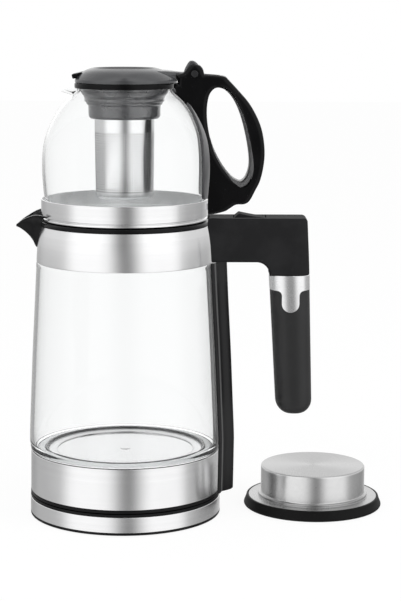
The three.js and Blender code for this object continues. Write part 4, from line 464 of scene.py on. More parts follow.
# Heating plate: a bright stainless disc with a dished middle and a small sensor spot, sealed to the
# glass by a wide ring of translucent silicone.
plate_steel = steel("heating_plate_steel", (0.62, 0.62, 0.625), 0.14, lines=0.2, stain=0.02)
hot_plate = turned([(0, 50), (62.3, 50), (62.3, 51.9), (4.4, 51.9), (3.8, 52.3), (0, 52.3)], steps=180)
fitted("hot_plate", hot_plate, plate_steel, "kettle", "brushed_steel", "heating_plate")
clamp_steel = steel("clamp_ring_steel", (0.70, 0.70, 0.705), 0.34, lines=0.5)
clamp_ring = turned([(55.4, 52), (62.4, 52), (62.4, 53.2), (60.8, 53.4), (57.2, 53.3), (55.4, 52.5)],
                    steps=180, roundings={2: 0.3, 3: 0.4, 4: 0.4, 5: 0.2})
fitted("clamp_ring", clamp_ring, clamp_steel, "kettle", "brushed_steel")
milky = Recipe(bpy.data.materials.new("seal_silicone"))
place = milky.node("ShaderNodeTexCoord", output="Object")
cloud = milky.node("ShaderNodeTexNoise", inputs={"Vector": place, "Scale": 60.0, "Detail": 4.0})
seal_silicone = milky.out(milky.node("ShaderNodeBsdfPrincipled", inputs={
    "Base Color": milky.blended(cloud.between(0.35, 0.65), (0.70, 0.71, 0.72), (0.80, 0.81, 0.815)),
    "Roughness": cloud * 0.2 + 0.3,
    "Subsurface Weight": 0.3,
    "Subsurface Radius": (0.004, 0.004, 0.004),
    "Subsurface Scale": 1.0,
    "Coat Weight": 0.3,
}))
seat_seal = turned([
    (62.6, 50), (75.6, 50), (75.6, 53.6), (71.2, 53.6), (70.6, 54.4), (69.4, 54.8), (66.2, 54.8),
    (65.2, 54.2), (65, 53.2), (62.6, 53.2),
], steps=160, roundings={4: 0.4, 6: 0.5, 7: 0.3})
fitted("seat_seal", seat_seal, seal_silicone, "kettle", "clear_silicone", "glass_seat_seal")

# Dark bead that closes the gap between plate and seal, and the thin gasket under the glass's edge
bead_grey = moulded("bead_grey", (0.07, 0.07, 0.072), 0.25, grain=0.3, shine=0.6)
bead = turned([(63.0, 53.3), (65.0, 53.3), (65.0, 55.2), (63.0, 55.2)], steps=160, roundings={2: 0.7, 3: 0.7})
fitted("plate_bead", bead, bead_grey, "kettle", "rubber_black")
gasket = turned([
    (71.9, 53.62), (75.7, 53.62), (75.7, 53.34), (76.5, 53.34), (76.5, 53.88), (71.9, 53.88),
], steps=160)
fitted("foot_gasket", gasket, bead_grey, "kettle", "rubber_black")


# KETTLE GLASS
# Tapering body of borosilicate glass, 3 mm thick, a little fuller at its foot and drawn in to a neck
# that the steel collar grips.
def through(points, steps, closed=False):
    """More points on a smooth curve that passes through the given ones."""
    ring = points if closed else [points[0], *points, points[-1]]
    smooth = []
    for i in range(len(points) if closed else len(points) - 1):
        first = i - 1 if closed else i
        before, here, there, after = (Vector(ring[(first + k) % len(ring)]) for k in range(4))
        for j in range(steps):
            t = j / steps
            smooth.append(tuple(
                here * (2 * t ** 3 - 3 * t ** 2 + 1) + there * (3 * t ** 2 - 2 * t ** 3)
                + (there - before) / 2 * (t ** 3 - 2 * t ** 2 + t) + (after - here) / 2 * (t ** 3 - t ** 2)))
    return smooth if closed else smooth + [tuple(points[-1])]


def clear(name, tint, marks, ior):
    """Clear glass with barely visible wiping marks; lamps shine through it."""
    made = Recipe(bpy.data.materials.new(name))
    place = made.node("ShaderNodeTexCoord", output="Object")
    wiped = made.node("ShaderNodeTexNoise", inputs={"Vector": place, "Scale": 24.0, "Detail": 5.0})
    body = made.node("ShaderNodeBsdfPrincipled", inputs={
        "Base Color": tint,
        "Roughness": wiped.between(0.5, 0.75, 0.0, marks),
        "Transmission Weight": 1.0,
        "IOR": ior,
    })
    open_air = made.node("ShaderNodeBsdfTransparent", inputs={0: (0.93, 0.935, 0.935, 1)})
    lamp_ray = made.node("ShaderNodeLightPath", output="Is Shadow Ray")
    return made.out(made.node("ShaderNodeMixShader", inputs={0: lamp_ray, 1: body, 2: open_air}))


GLASS_WALL = 3
kettle_clear = clear("kettle_clear", (0.985, 0.99, 0.99, 1), 0.006, 1.24)
glass_outside = through([
    (76.7, 53.9), (77.3, 57.8), (77.65, 65.5), (76.6, 91.6), (74.8, 133), (72.6, 174), (71.0, 205.5),
], 8)
kettle_shell = glass_outside + [(69.4, 207.5), (68.9, 214), (65.9, 214), (66.4, 207.0)]
kettle_shell += [(radius - GLASS_WALL, height) for radius, height in reversed(glass_outside) if height > 60]
kettle_shell += [(74.0, 58.4), (73.2, 56.8), (72.2, 55.6), (71.8, 53.9)]
shell = turned(kettle_shell, steps=192, roundings={0: 0.9, len(kettle_shell) - 1: 0.5})
fitted("kettle_shell", shell, kettle_clear, "kettle", "clear_glass", "kettle_glass", sharp=50)
dressed(foot_rubber, "glass_top_seal")


# KETTLE COLLAR
# Brushed stainless collar that leans in towards the teapot and clamps the neck of the glass. A window
# on the left lets the black beak through; a rubber seal sits under it.
def lofted(sections):
    """A closed skin over sections with equal point counts, pulled from one to the next, with flat ends."""
    bm = bmesh.new()
    corners = [bm.verts.new(point) for point in sections[0]]
    face = bm.faces.new(corners)
    inner = []
    for section in sections[1:]:
        pulled = bmesh.ops.extrude_face_region(bm, geom=[face])["geom"]
        twins = {tuple(v.co): v for v in pulled if isinstance(v, bmesh.types.BMVert)}
        face = next(f for f in pulled if isinstance(f, bmesh.types.BMFace))
        inner.append(face)
        corners = [twins[tuple(v.co)] for v in corners]
        for corner, point in zip(corners, section):
            corner.co = point
    bmesh.ops.delete(bm, geom=inner[:-1], context="FACES_ONLY")
    bmesh.ops.recalc_face_normals(bm, faces=bm.faces[:])
    return bm


BEAK_TIP, BEAK_LENGTH, RING_TOP = -87.0, 26, 239.9
TIP_HALF, TIP_DROP, ROOT_RISE, ROOT_HUMP = 1.2, 8.8, 4.8, 1.5
KEEL_START, KEEL_FALL, SIDE_SPREAD = 5.6, 16.7, 1.2437
keel_line = through([
    (0, 0), (0.08, 0.045), (0.18, 0.145), (0.3, 0.29), (0.42, 0.48), (0.52, 0.7), (0.62, 1), (0.8, 1),
    (1, 1),
], 3)
rim_line = through([
    (0, 0), (0.08, 0.19), (0.18, 0.43), (0.3, 0.66), (0.42, 0.82), (0.52, 0.91), (0.62, 0.97), (0.8, 1),
    (1, 1),
], 3)
beak_side = through([
    (0, 0), (0.16, 0.03), (0.26, 0.12), (0.34, 0.3), (0.4, 0.5), (0.5, 0.7), (0.7, 0.87), (1, 1),
], 3)


def beak(wall=0.0, above=0.0):
    """The spout's form from its tip to inside the lining, drawn in by wall; above closes its open top."""
    sections = []
    for (along, keel), (_, rim) in zip(keel_line, rim_line):
        half = max(TIP_HALF + along * BEAK_LENGTH * SIDE_SPREAD - wall, 0.3)
        hump = ROOT_HUMP * min(max((along - 0.35) / 0.35, 0), 1)
        top = RING_TOP + ROOT_RISE - TIP_DROP * (1 - min(rim, 1)) + hump
        low = min(RING_TOP - KEEL_START - KEEL_FALL * min(keel, 1) + wall, top - 0.2)
        x = BEAK_TIP + wall * 1.5 * (1 - along) + along * BEAK_LENGTH
        side = [(half * out, low + (top - low) * rise) for out, rise in beak_side]
        over = [(half, top + above), (-half, top + above)] if above else []
        sections.append([(x, y, z) for y, z in side + over + [(-y, z) for y, z in reversed(side[1:])]])
    return lofted(sections)


COLLAR_WALL = 0.9
collar_steel = steel("collar_steel")
collar_outside = through([(70.9, 206.9), (70.6, 213), (70.0, 221.8), (69.0, 229.5), (67.7, 236.6)], 4)
collar_inside = [(radius - COLLAR_WALL, height) for radius, height in reversed(collar_outside)]
collar = turned(collar_outside + collar_inside, steps=180, roundings={0: 0.5, len(collar_outside) - 1: 0.3})
fitted("upper_band", carved("upper_band", collar, ("DIFFERENCE", beak(-0.3, 4))), collar_steel,
       "kettle", "brushed_steel", "upper_collar")

# Lining with the black rim that the teapot stands on, moulded in one with the open beak of the spout.
ring_black = moulded("ring_black", (0.003, 0.003, 0.0035), 0.24, shine=0.14)
lining = turned([
    (58, RING_TOP), (58, 236.9), (63.8, 236.9), (63.8, 216), (66, 216), (66, 236.9), (67.8, 236.9),
    (67.8, RING_TOP),
], steps=180, roundings={0: 0.6, 6: 0.3, 7: 1.5})
mouth_room = turned([(0, 236.9), (66, 236.9), (66, 260), (0, 260)], steps=180)
channel = carved("channel", beak(1.8, 4), ("DIFFERENCE", mouth_room))
beak_body = carved(
    "beak_body", beak(),
    ("DIFFERENCE", turned([(0, 205), (63.9, 205), (63.9, 260), (0, 260)], steps=180)),
    ("DIFFERENCE", turned([(0, RING_TOP), (67.6, RING_TOP), (67.6, 260), (0, 260)], steps=180)),
)
spout_and_ring = carved("spout_and_ring", lining, ("UNION", beak_body), ("DIFFERENCE", channel))
fitted("spout_and_ring", spout_and_ring, ring_black, "kettle", "satin_black", "spout_ring", edge=0.35)


# Sieve: a strip of thin perforated sheet that stands across the way into the beak.
def perforated(radius_low, radius_high, low, high, columns, rows, sheet):
    """A round sieve of thin sheet, punched in straight rows."""
    bm = bmesh.new()
    bmesh.ops.create_cone(bm, cap_ends=False, segments=columns, radius1=radius_low, radius2=radius_high,
                          depth=high - low, matrix=Matrix.Translation((0, 0, (low + high) / 2)))
    upright = [edge for edge in bm.edges if abs(edge.verts[0].co.z - edge.verts[1].co.z) > 1]
    bmesh.ops.subdivide_edges(bm, edges=upright, cuts=rows - 1, use_grid_fill=True)
    cells = bm.faces[:]
    pitch = 2 * math.pi * radius_low / columns
    bmesh.ops.inset_individual(bm, faces=cells, thickness=pitch * 0.2, use_even_offset=True)
    corners = list({corner for cell in cells for corner in cell.verts})
    bmesh.ops.bevel(bm, geom=corners, offset=pitch * 0.18, segments=1, profile=0.5, affect="VERTICES",
                    material=-1)
    bmesh.ops.delete(bm, geom=[face for face in bm.faces if len(face.verts) == 8], context="FACES")
    bmesh.ops.solidify(bm, geom=bm.faces[:], thickness=sheet)
    return bm


sieve_steel = steel("sieve_steel", (0.84, 0.84, 0.845), 0.2, lines=0.4, stain=0.02)
sieve = perforated(63.2, 63.2, 219.6, 236.6, columns=150, rows=12, sheet=0.5)
bmesh.ops.bisect_plane(sieve, geom=sieve.verts[:] + sieve.edges[:] + sieve.faces[:],
                       plane_co=(-58.8, 0, 0), plane_no=(1, 0, 0), clear_outer=True)
fitted("spout_sieve", sieve, sieve_steel, "kettle", "perforated_steel", "spout_filter", even=False)


# KETTLE HANDLE
# Arm moulded in satin black plastic that reaches from the collar out over the grip; two screws from
# inside the lining hold it. The lever on top is the power switch.
def slab(outline, half_width, edge, holes=(), rings=4):
    """A plate with an outline in X and Z, half_width to each side of the middle, with rounded edges."""
    curve = bpy.data.curves.new("slab", "CURVE")
    curve.dimensions, curve.fill_mode = "2D", "BOTH"
    for loop in (outline, *holes):
        line = curve.splines.new("POLY")
        line.points.add(len(loop) - 1)
        for point, (x, z) in zip(line.points, loop):
            point.co = (x, z, 0, 1)
        line.use_cyclic_u = True
    curve.extrude, curve.offset = half_width - edge, -edge
    curve.bevel_depth, curve.bevel_resolution = edge, rings
    shape = bpy.data.objects.new("slab", curve)
    scene.collection.objects.link(shape)
    bm = bmesh.new()
    bm.from_mesh(shape.evaluated_get(bpy.context.evaluated_depsgraph_get()).to_mesh())
    bpy.data.objects.remove(shape)
    bpy.data.curves.remove(curve)
    laid(bm, "X", 90)
    bmesh.ops.remove_doubles(bm, verts=bm.verts[:], dist=0.01)
    bmesh.ops.recalc_face_normals(bm, faces=bm.faces[:])
    return bm


def block(low, high, edge=0.0):
    """A box between two corners, with rounded edges if edge gives their radius."""
    bm = bmesh.new()
    size = [b - a for a, b in zip(low, high)]
    middle = [(a + b) / 2 for a, b in zip(low, high)]
    bmesh.ops.create_cube(bm, size=1, matrix=Matrix.Translation(middle) @ Matrix.Diagonal((*size, 1)))
    if edge:
        bmesh.ops.bevel(bm, geom=bm.edges[:], offset=edge, segments=3, profile=0.5, affect="EDGES",
                        material=-1)
    return bm


def arc(x, z, radius, first, last, count=9):
    """Points on part of a circle, its angles in degrees from +X towards +Z."""
    turns = [math.radians(first + (last - first) * i / (count - 1)) for i in range(count)]
    return [(x + radius * math.cos(turn), z + radius * math.sin(turn)) for turn in turns]


def rounder(value, power):
    """A power of a sine or cosine that keeps its sign, for outlines between round and square."""
    return math.copysign(abs(value) ** power, value)


GRIP_X, GRIP_HALF, ARM_HALF, SQUARENESS = 132.4, 16.3, 16, 0.82
arm_black = moulded("arm_black", (0.019, 0.019, 0.0198), 0.46, shine=0.01)
arm_outline = [(58, 207.6), *arc(105.6, 197.1, 10.5, 90, 0, 13), (116.1, 196.6), (148.7, 196.6),
               *arc(143.0, 239.7, 3.2, 0, 90), (58, 242.9)]
arm_end = [
    (GRIP_X + GRIP_HALF * rounder(math.cos(t), SQUARENESS), ARM_HALF * rounder(math.sin(t), SQUARENESS))
    for t in (math.pi * (k / 24 - 0.5) for k in range(25))
] + [(50, ARM_HALF), (50, -ARM_HALF)]
arm_sides = lofted([[(x, y, z) for x, y in arm_end] for z in (190, 250)])
body_room = turned([
    (0, 190), (71.3, 190), (71.3, 206.9), (71.0, 213), (70.4, 221.8), (69.4, 229.5), (68.1, 236.6),
    (68.1, RING_TOP), (68.4, RING_TOP), (68.4, 262), (0, 262),
], steps=180)
lever_pocket = block((87.0, -9.8, 225.5), (113.6, 9.8, 260))
arm = carved("arm", slab(arm_outline, ARM_HALF, 2.2), ("INTERSECT", arm_sides), ("DIFFERENCE", body_room),
             ("DIFFERENCE", lever_pocket))
arm_piece = fitted("arm", arm, arm_black, "kettle", "satin_black", "handle_arm", sharp=28)

lever_outline = [(88.0, 236.6), (112.6, 236.6), (112.6, 242.8), (110, 243.0), (104, 243.7), (98, 244.8),
                 *arc(91.9, 244.1, 2.0, 60, 150, 5), (88.0, 243.4)]
lever_piece = fitted("lever", slab(lever_outline, 9, 0.8), arm_black,
                     "power_lever", "satin_black", "power_lever", sharp=28)
dressed(screw_zinc, "power_lever_pin", "handle_screw_1", "handle_screw_2", "spine_screw", "handle_core_rod")
dressed(block_white, "power_switch")

# Spine: a flat flange that hugs glass and bands, with a rounded rib down its middle. It carries the
# wires from the switch to the foot, and a screw at its lower end holds it.
SPINE_HALF, FLANGE, FLANGE_EDGE = 20.0, 2.6, 1.6
RIB, RIB_FOOT, RIB_SLOPE = 10.6, 12.4, 8.4
spine_black = moulded("spine_black", (0.005, 0.005, 0.0055), 0.34, shine=0.3)
spine_line = through([
    (18.3, 77.7), (53.9, 78.2), (65.5, 78.2), (91.6, 77.1), (133, 75.3), (174, 73.1), (207.3, 71.5),
], 5)


def spine_section(height, back, draw=0.0):
    """The spine's outline at a height, wrapped round the body at radius back; draw makes it smaller."""
    half = SPINE_HALF - draw
    inside = [half * (k / 8 - 1) for k in range(17)]
    outside = [half, half - 0.6] + [half - 1.6 - (half - 1.6) * k / 12 for k in range(1, 13)]
    proud = []
    for y in outside:
        rise = min(max((RIB_FOOT - y) / RIB_SLOPE, 0), 1)
        flange = FLANGE if y < half - 0.3 else FLANGE_EDGE
        proud.append(flange + (RIB - FLANGE - draw) * rise * rise * (3 - 2 * rise) - draw * 0.5)
    wrap = [(math.sqrt(back * back - y * y), y, height) for y in inside]
    front = [(math.sqrt(back * back - y * y) + p, y, height) for y, p in zip(outside, proud)]
    return wrap + front + [(x, -y, z) for x, y, z in reversed(front[:-1])]


spine_sections = [spine_section(18.3, 77.7, 2.0), spine_section(18.9, 77.7, 0.8), spine_section(20.0, 77.7)]
spine_sections += [spine_section(height, back) for height, back in spine_line[2:]]
spine_piece = fitted("spine", lofted(spine_sections), spine_black,
                     "kettle", "satin_black", "handle_spine", sharp=50)

# Grip: soft-touch black moulding on a steel core rod, drawn in towards its rounded end. A steel ring
# with a tongue closes its top, under the arm.
GRIP_TOP, GRIP_LENGTH, GRIP_ROUND, GRIP_DEPTH, GRIP_LEAN, GRIP_TAPER = 196.3, 114.2, 12, 15, 5, 1.7
grip_black = moulded("grip_black", (0.0105, 0.0105, 0.011), 0.45, grain=1.3)


def grip_section(height, inset=0.0):
    """The grip's outline at a height; lower down it is narrower and lies further out."""
    along = (GRIP_TOP - height) / GRIP_LENGTH
    centre = GRIP_X + GRIP_LEAN * along
    half, deep = GRIP_HALF - GRIP_TAPER * along - inset, GRIP_DEPTH - inset
    turns = [2 * math.pi * i / 64 for i in range(64)]
    return [(centre + half * rounder(math.cos(t), SQUARENESS), deep * rounder(math.sin(t), SQUARENESS), height)
            for t in turns]


def grip_form(top, grow=0.0, end=82.1):
    """The grip from its top down to its rounded end, larger all round by grow."""
    heights = [top - (top - end - GRIP_ROUND) * k / 14 for k in range(15)]
    sections = [grip_section(height, -grow) for height in heights]
    for turn in (10, 20, 30, 40, 50, 60, 68, 76, 83, 88):
        angle = math.radians(turn)
        inset = GRIP_ROUND * (1 - math.cos(angle)) * 0.92 - grow
        sections.append(grip_section(end + GRIP_ROUND * (1 - math.sin(angle)), inset))
    return lofted(sections)


fitted("grip", grip_form(196.2), grip_black, "kettle", "satin_black", "handle_grip", sharp=50)
ring_steel = steel("grip_ring_steel", (0.80, 0.80, 0.805), 0.3, lines=0.7)
tongue = [(100, 185.0), *arc(122.1, 180.5, 4.0, 90, 0), *arc(133.1, 174.1, 7.0, 180, 360, 25),
          *arc(144.1, 180.5, 4.0, 180, 90), (160, 185.0), (160, 200), (100, 200)]
ring_and_tongue = carved("grip_ring", grip_form(GRIP_TOP, 0.25, 81.8), ("INTERSECT", slab(tongue, 30, 0.0)),
                         ("DIFFERENCE", grip_form(220, -1.4, 83.5)))
fitted("grip_ring", ring_and_tongue, ring_steel, "kettle", "brushed_steel", "handle_steel_ring", edge=0.25)


# TEAPOT CUP
# Polished stainless cup pressed from sheet; the glass sits in it and a rubber ring below centres it in
# the kettle's mouth.
CUP = 240.2
cup_steel = steel("cup_steel", (0.83, 0.83, 0.835), 0.17, lines=0.7)
cup = turned([(radius, height + CUP) for radius, height in (
    (0, 0), (64.3, 0), (65.8, 0.8), (65.8, 2.1), (65.0, 2.9), (66.8, 3.9), (66.8, 17.3), (65.9, 17.3),
    (65.9, 4.4), (64.1, 3.4), (63.4, 0.9), (0, 0.9),
)], steps=192, roundings={1: 0.3, 2: 0.4, 3: 0.4, 4: 0.3, 5: 0.4, 6: 0.4, 7: 0.3})
fitted("cup", cup, cup_steel, "teapot", "brushed_steel", "teapot_cup")

# Painted reflection, a pale matt sheet inside the cup for the shine of its steel; the rubber ring below it
cup_reflection_paint = moulded("cup_inside_painted_reflection", (0.93, 0.93, 0.935), 0.4, grain=0.4)
reflection_sheet = turned([(radius, height + CUP) for radius, height in (
    (0, 0.94), (63.2, 0.94), (63.9, 3.5), (65.6, 4.6), (65.75, 16.9), (65.45, 16.9), (65.3, 4.9),
    (63.6, 3.8), (62.9, 1.1), (0, 1.1),
)], steps=160)
fitted("cup_reflection_sheet", reflection_sheet, cup_reflection_paint, "teapot", "brushed_steel")
foot_ring = turned([(50.2, 233.2), (57.2, 233.2), (57.2, 239.9), (50.2, 239.9)], steps=120,
                   roundings={0: 0.8, 1: 1.4})
fitted("foot_ring", foot_ring, foot_rubber, "teapot", "rubber_black", "teapot_foot_ring")
dressed(screw_zinc, "handle_bracket")


# TEAPOT GLASS
# Blown bowl of clear borosilicate glass, drawn in to a short neck with a small pouring lip. It is set
# in the steel cup, and a black plastic ring covers its rim.
BOWL_FOOT, BOWL_FLOOR, BOWL_WALL = 241.4, 243.6, 2.2
NECK, NECK_TOP = 36.0, 344.8
bowl_line = through([
    (52.6, BOWL_FOOT), (60.5, 245.0), (63.6, 253.8), (65.2, 269.3), (65.8, 281), (65.4, 293.5), (63.3, 305.5),
    (59.5, 315.8), (53.4, 327), (45.6, 336.6), (40.0, 341.3), (38.2, NECK_TOP),
], 5)


def moved_in(line, wall):
    """The same profile moved square to itself by the wall's thickness."""
    inner = []
    for i, (radius, height) in enumerate(line):
        (r0, h0), (r1, h1) = line[max(i - 1, 0)], line[min(i + 1, len(line) - 1)]
        length = math.hypot(r1 - r0, h1 - h0)
        inner.append((max(radius - wall * (h1 - h0) / length, 0), height + wall * (r1 - r0) / length))
    return inner


bowl_inside = moved_in(bowl_line, BOWL_WALL)
bowl_inside[0], bowl_inside[-1] = (bowl_inside[0][0], BOWL_FLOOR), (NECK, NECK_TOP)
bowl_profile = [(0, BOWL_FOOT), *bowl_line, *reversed(bowl_inside), (0, BOWL_FLOOR)]
bowl_clear = clear("bowl_clear", (0.99, 0.995, 0.995, 1), 0.0, 1.17)

LIP_TIP, LIP_LENGTH, LIP_SPREAD = -50.0, 14.0, 0.586
LIP_RIM, LIP_CROWN, LIP_KEEL, LIP_FALL, LIP_POINT = 343.9, 0.9, 342.1, 6.9, 1.8
lip_keel = through([(0, 0), (0.18, 0.13), (0.4, 0.28), (0.66, 0.48), (0.85, 0.74), (1, 1)], 4)
lip_rim = through([(0, 0), (0.18, 0.36), (0.4, 0.7), (0.66, 0.92), (0.85, 1), (1, 1)], 4)


def lip(wall=0.0, above=0.0):
    """The small pouring lip at the neck, from its tip inwards; with a wall it is what is cut out of it."""
    sections = []
    for (along, keel), (_, rim) in zip(lip_keel, lip_rim):
        length = LIP_LENGTH + (BOWL_WALL if wall else 0)
        half = max(LIP_POINT + along * length * LIP_SPREAD - wall, 0.4)
        top = LIP_RIM + LIP_CROWN * min(rim, 1)
        low = min(LIP_KEEL - LIP_FALL * keel + wall, top - 0.2)
        x = LIP_TIP + wall * 1.5 * (1 - along) + along * length
        side = [(half * math.sin(rise * math.pi / 2), top - (top - low) * math.cos(rise * math.pi / 2))
                for rise in (0, 0.12, 0.25, 0.4, 0.55, 0.7, 0.85, 1)]
        over = [(half, top + above), (-half, top + above)] if above else []
        sections.append([(x, y, z) for y, z in side + over + [(-y, z) for y, z in reversed(side[1:])]])
    return lofted(sections)


bowl_room = turned([(0, BOWL_FLOOR), *bowl_inside, (NECK, 352), (0, 352)], steps=192)
lip_body = carved("lip_body", lip(), ("DIFFERENCE", bowl_room))
bowl = carved("bowl", turned(bowl_profile, steps=192), ("UNION", lip_body), ("DIFFERENCE", lip(1.6, 4)))
fitted("bowl", bowl, bowl_clear, "teapot", "clear_glass", "teapot_glass", sharp=40)

# Black plastic ring pressed on the rim of the glass.
gloss_black = moulded("gloss_black", (0.0022, 0.0022, 0.0025), 0.22, grain=0.3, shine=0.12)
rim_ring = turned([(NECK, 345.1), (39.6, 345.1), (39.6, 349.1), (NECK, 349.1)], roundings={1: 0.6, 2: 0.8})
fitted("rim_ring", rim_ring, gloss_black, "teapot", "gloss_black", "teapot_rim_ring")


# INFUSER
# Smoke grey moulded funnel that hangs in the neck of the teapot, with soft steps down its outside. The
# steel basket hangs in it, and both lift out together once the lid is open.
smoke_grey = moulded("smoke_grey", (0.038, 0.038, 0.041), 0.2, grain=0.3, shine=1.0, coat=0.8)
funnel_outside = through([(35.3, 345.6), (35.1, 343.2), (33.6, 339.2), (31.8, 336.9)], 5)
funnel_outside += through([(31.95, 336.2), (31.9, 335.2), (30.9, 334.2), (30.3, 333.4)], 3)
funnel_outside += [(30.2, 332.4), (28.8, 331.3), (28.6, 323.2), (27.2, 321.1)]
funnel_profile = [(37, 350.4), (37, 349.5), (35.4, 349.4), *funnel_outside, (24.5, 321.1), (24.5, 324.7),
                  (26.9, 324.7), (26.9, 332.4), (30.4, 337.2), (33.6, 345.1), (33.6, 350.4)]
end = funnel_profile.index(funnel_outside[-1])
funnel = turned(funnel_profile, roundings={0: 0.3, end: 0.5, end - 1: 0.6, end - 2: 0.4})
fitted("infuser_funnel", funnel, smoke_grey, "teapot", "infuser_grey", "infuser_collar", sharp=45)

# Basket of thin stainless sheet, welded to a cup, punched all round between two plain bands.
basket_cup = turned([
    (0, 257.8), (21.3, 257.8), (23.1, 259.6), (23.15, 263.2), (22.55, 263.2), (22.5, 260.2), (21, 258.5),
    (0, 258.5),
], steps=120, roundings={1: 0.8, 2: 0.8})
fitted("basket_cup", basket_cup, sieve_steel, "teapot", "perforated_steel", "infuser_basket")
basket_band = turned([
    (23.2, 310.6), (23.8, 310.6), (23.9, 324.9), (26.1, 324.9), (26.1, 325.7), (23.3, 325.7),
], steps=120)
fitted("basket_band", basket_band, sieve_steel, "teapot", "perforated_steel")
basket_sieve = perforated(23.12, 23.78, 263.0, 310.8, columns=74, rows=25, sheet=0.5)
fitted("basket_sieve", basket_sieve, sieve_steel, "teapot", "perforated_steel", even=False)


# TEAPOT LID
# Grey moulded lid with a shallow dish, drawn out to the hinge, where a thumb lug stands up. It turns on
# a steel pin between the handle's ears; an inner cover closes it below, and a black tab is in front.
LID_EDGE, EDGE_PULL, HINGE_X, HINGE_Z = 39.2, 2.6, 55.6, 356.7
lid_grey = moulded("lid_grey", (0.035, 0.036, 0.039), 0.22, grain=0.5, shine=0.8)
dish = through([
    (10, 358.1), (18, 358.2), (22.2, 358.9), (24.2, 360.2), (25.4, 360.8), (26.8, 360.5), (30.8, 359.1),
    (34.4, 356.9), (37.6, 353.9),
], 4)
lid_profile = [(0, 358.1), *dish, (LID_EDGE, 351.9), (LID_EDGE, 349.5), (37.9, 349.5), (37.9, 351.5),
               (34.5, 354.0), (28, 357.4), (20, 354.6), (0, 354.4)]
skirt = len(dish) + 1
lid_shell = turned(lid_profile, steps=160, roundings={skirt: 0.5, skirt + 1: 0.3})
for corner in lid_shell.verts:
    corner.co.x += EDGE_PULL * (max(corner.co.x, 0) / LID_EDGE) ** 7
lid_arm = []
for x, half, top, low in (
    (22, 20, 358.6, 357.2), (27, 17.5, 359.6, 356.6), (32, 14, 359.4, 355), (37, 9.5, 358.9, 351.4),
    (41, 5.7, 358.4, 350.7), (45, 5.6, 358.0, 350.6), (50, 5.6, 358.2, 350.8), (56, 5.6, 358, 351.4),
):
    middle, deep = (top + low) / 2, (top - low) / 2
    turns = [2 * math.pi * k / 24 for k in range(24)]
    lid_arm.append([(x, half * math.cos(t), middle + deep * rounder(math.sin(t), 0.35)) for t in turns])
lug_outline = through([
    (61.4, 357.5), (60.8, 360.0), (58.9, 363.2), (55.9, 366.1), (53.4, 366.8), (51.4, 366.2), (49.4, 363.4),
    (47.6, 359.8), (47.2, 356.2), (49.8, 352.4), (55.6, 350.9), (60.0, 353.2),
], 4, closed=True)
pin_hole = laid(turned([(0, -20), (1.6, -20), (1.6, 20), (0, 20)], steps=32), "X", 90)
moved(pin_hole, (HINGE_X, 0, HINGE_Z))
teapot_lid = carved("lid", lid_shell, ("UNION", lofted(lid_arm)), ("UNION", slab(lug_outline, 5.6, 1.6)),
                    ("DIFFERENCE", pin_hole.copy()))
fitted("lid", teapot_lid, lid_grey, "teapot_lid", "lid_grey", "teapot_lid", sharp=38)
dressed(lid_grey, "lid_inner_cover")

# Gloss black tab that is set in the lid's front edge and follows its slope
tab_room = turned([
    (0, 340), (39.5, 340), (39.5, 352.1), (37.9, 353.8), (35.3, 356.4), (32.5, 359.6), (0, 362),
], steps=96)
tab_form = block((-41.3, -9, 353.6), (-30, 9, 357.4), 1.0)
tab_slope = Matrix.Rotation(math.radians(-13), 3, "Y")
bmesh.ops.rotate(tab_form, cent=(-35, 0, 355.8), matrix=tab_slope, verts=tab_form.verts[:])
tab = carved("front_tab", tab_form, ("DIFFERENCE", tab_room))
fitted("front_tab", tab, gloss_black, "teapot_lid", "gloss_black", "lid_front_tab")


# TEAPOT HANDLE
# Gloss black loop, moulded in one with the ears for the hinge. Its foot is screwed to the cup, and a
# saddle spreads the load on the glass.
HANDLE_HALF, HANDLE_EDGE = 9.5, 3.6
handle_outer = through([
    (73.1, 245.6), (80.3, 247.6), (84.3, 250.1), (89.1, 252.9), (95.5, 253.3), (99.9, 256.2), (104.2, 264.2),
    (108.1, 272.3), (110.8, 284.3), (111.5, 296.3), (109.8, 309.8), (106.1, 320.9), (99.6, 332.7),
    (91.6, 342.2), (82.8, 351.6), (79.4, 354.6), (73, 355.5), (66.0, 356.0),
], 4)
ears = arc(HINGE_X, HINGE_Z, 7.4, 5, 150, 14)
handle_outline = [(58, 244.2), (66, 244.6), *handle_outer, (63.4, 356.2), *ears, (46.6, 357.4), (40.9, 355.8),
                  (40.9, 353.1), (42.1, 351.9), (42.05, 349.3), (38.4, 349.0), (38.0, 341.0), (44.6, 326),
                  (44.6, 286)]
handle_hole = through([
    (74.9, 345.7), (70.2, 344.1), (66.7, 338.1), (65.4, 326.3), (66.8, 312), (70.4, 298.5), (76.9, 285.7),
    (84.1, 276.2), (89, 272.6), (93, 271.8), (96.9, 276.2), (99.2, 285.8), (97.9, 300.2), (93.4, 320),
    (87.7, 334.3), (81.3, 342.9),
], 4, closed=True)
bowl_clearance = moved_in(bowl_line, -0.35)
glass_room = turned([
    (0, 230), (67.1, 230), (67.1, 257.8), *(point for point in bowl_clearance if point[1] > 258.5),
    (38.6, 344.9), (39.95, 345), (39.95, 349.3), (39.95, 360), (0, 360),
], steps=192)
hinge_slot = block((39, -6.0, 350.3), (75.5, 6.0, 380))
handle = carved("handle", slab(handle_outline, HANDLE_HALF, HANDLE_EDGE, holes=[handle_hole], rings=5),
                ("DIFFERENCE", glass_room), ("DIFFERENCE", hinge_slot), ("DIFFERENCE", pin_hole))
handle_piece = fitted("handle", handle, gloss_black, "teapot", "gloss_black", "teapot_handle", sharp=30)
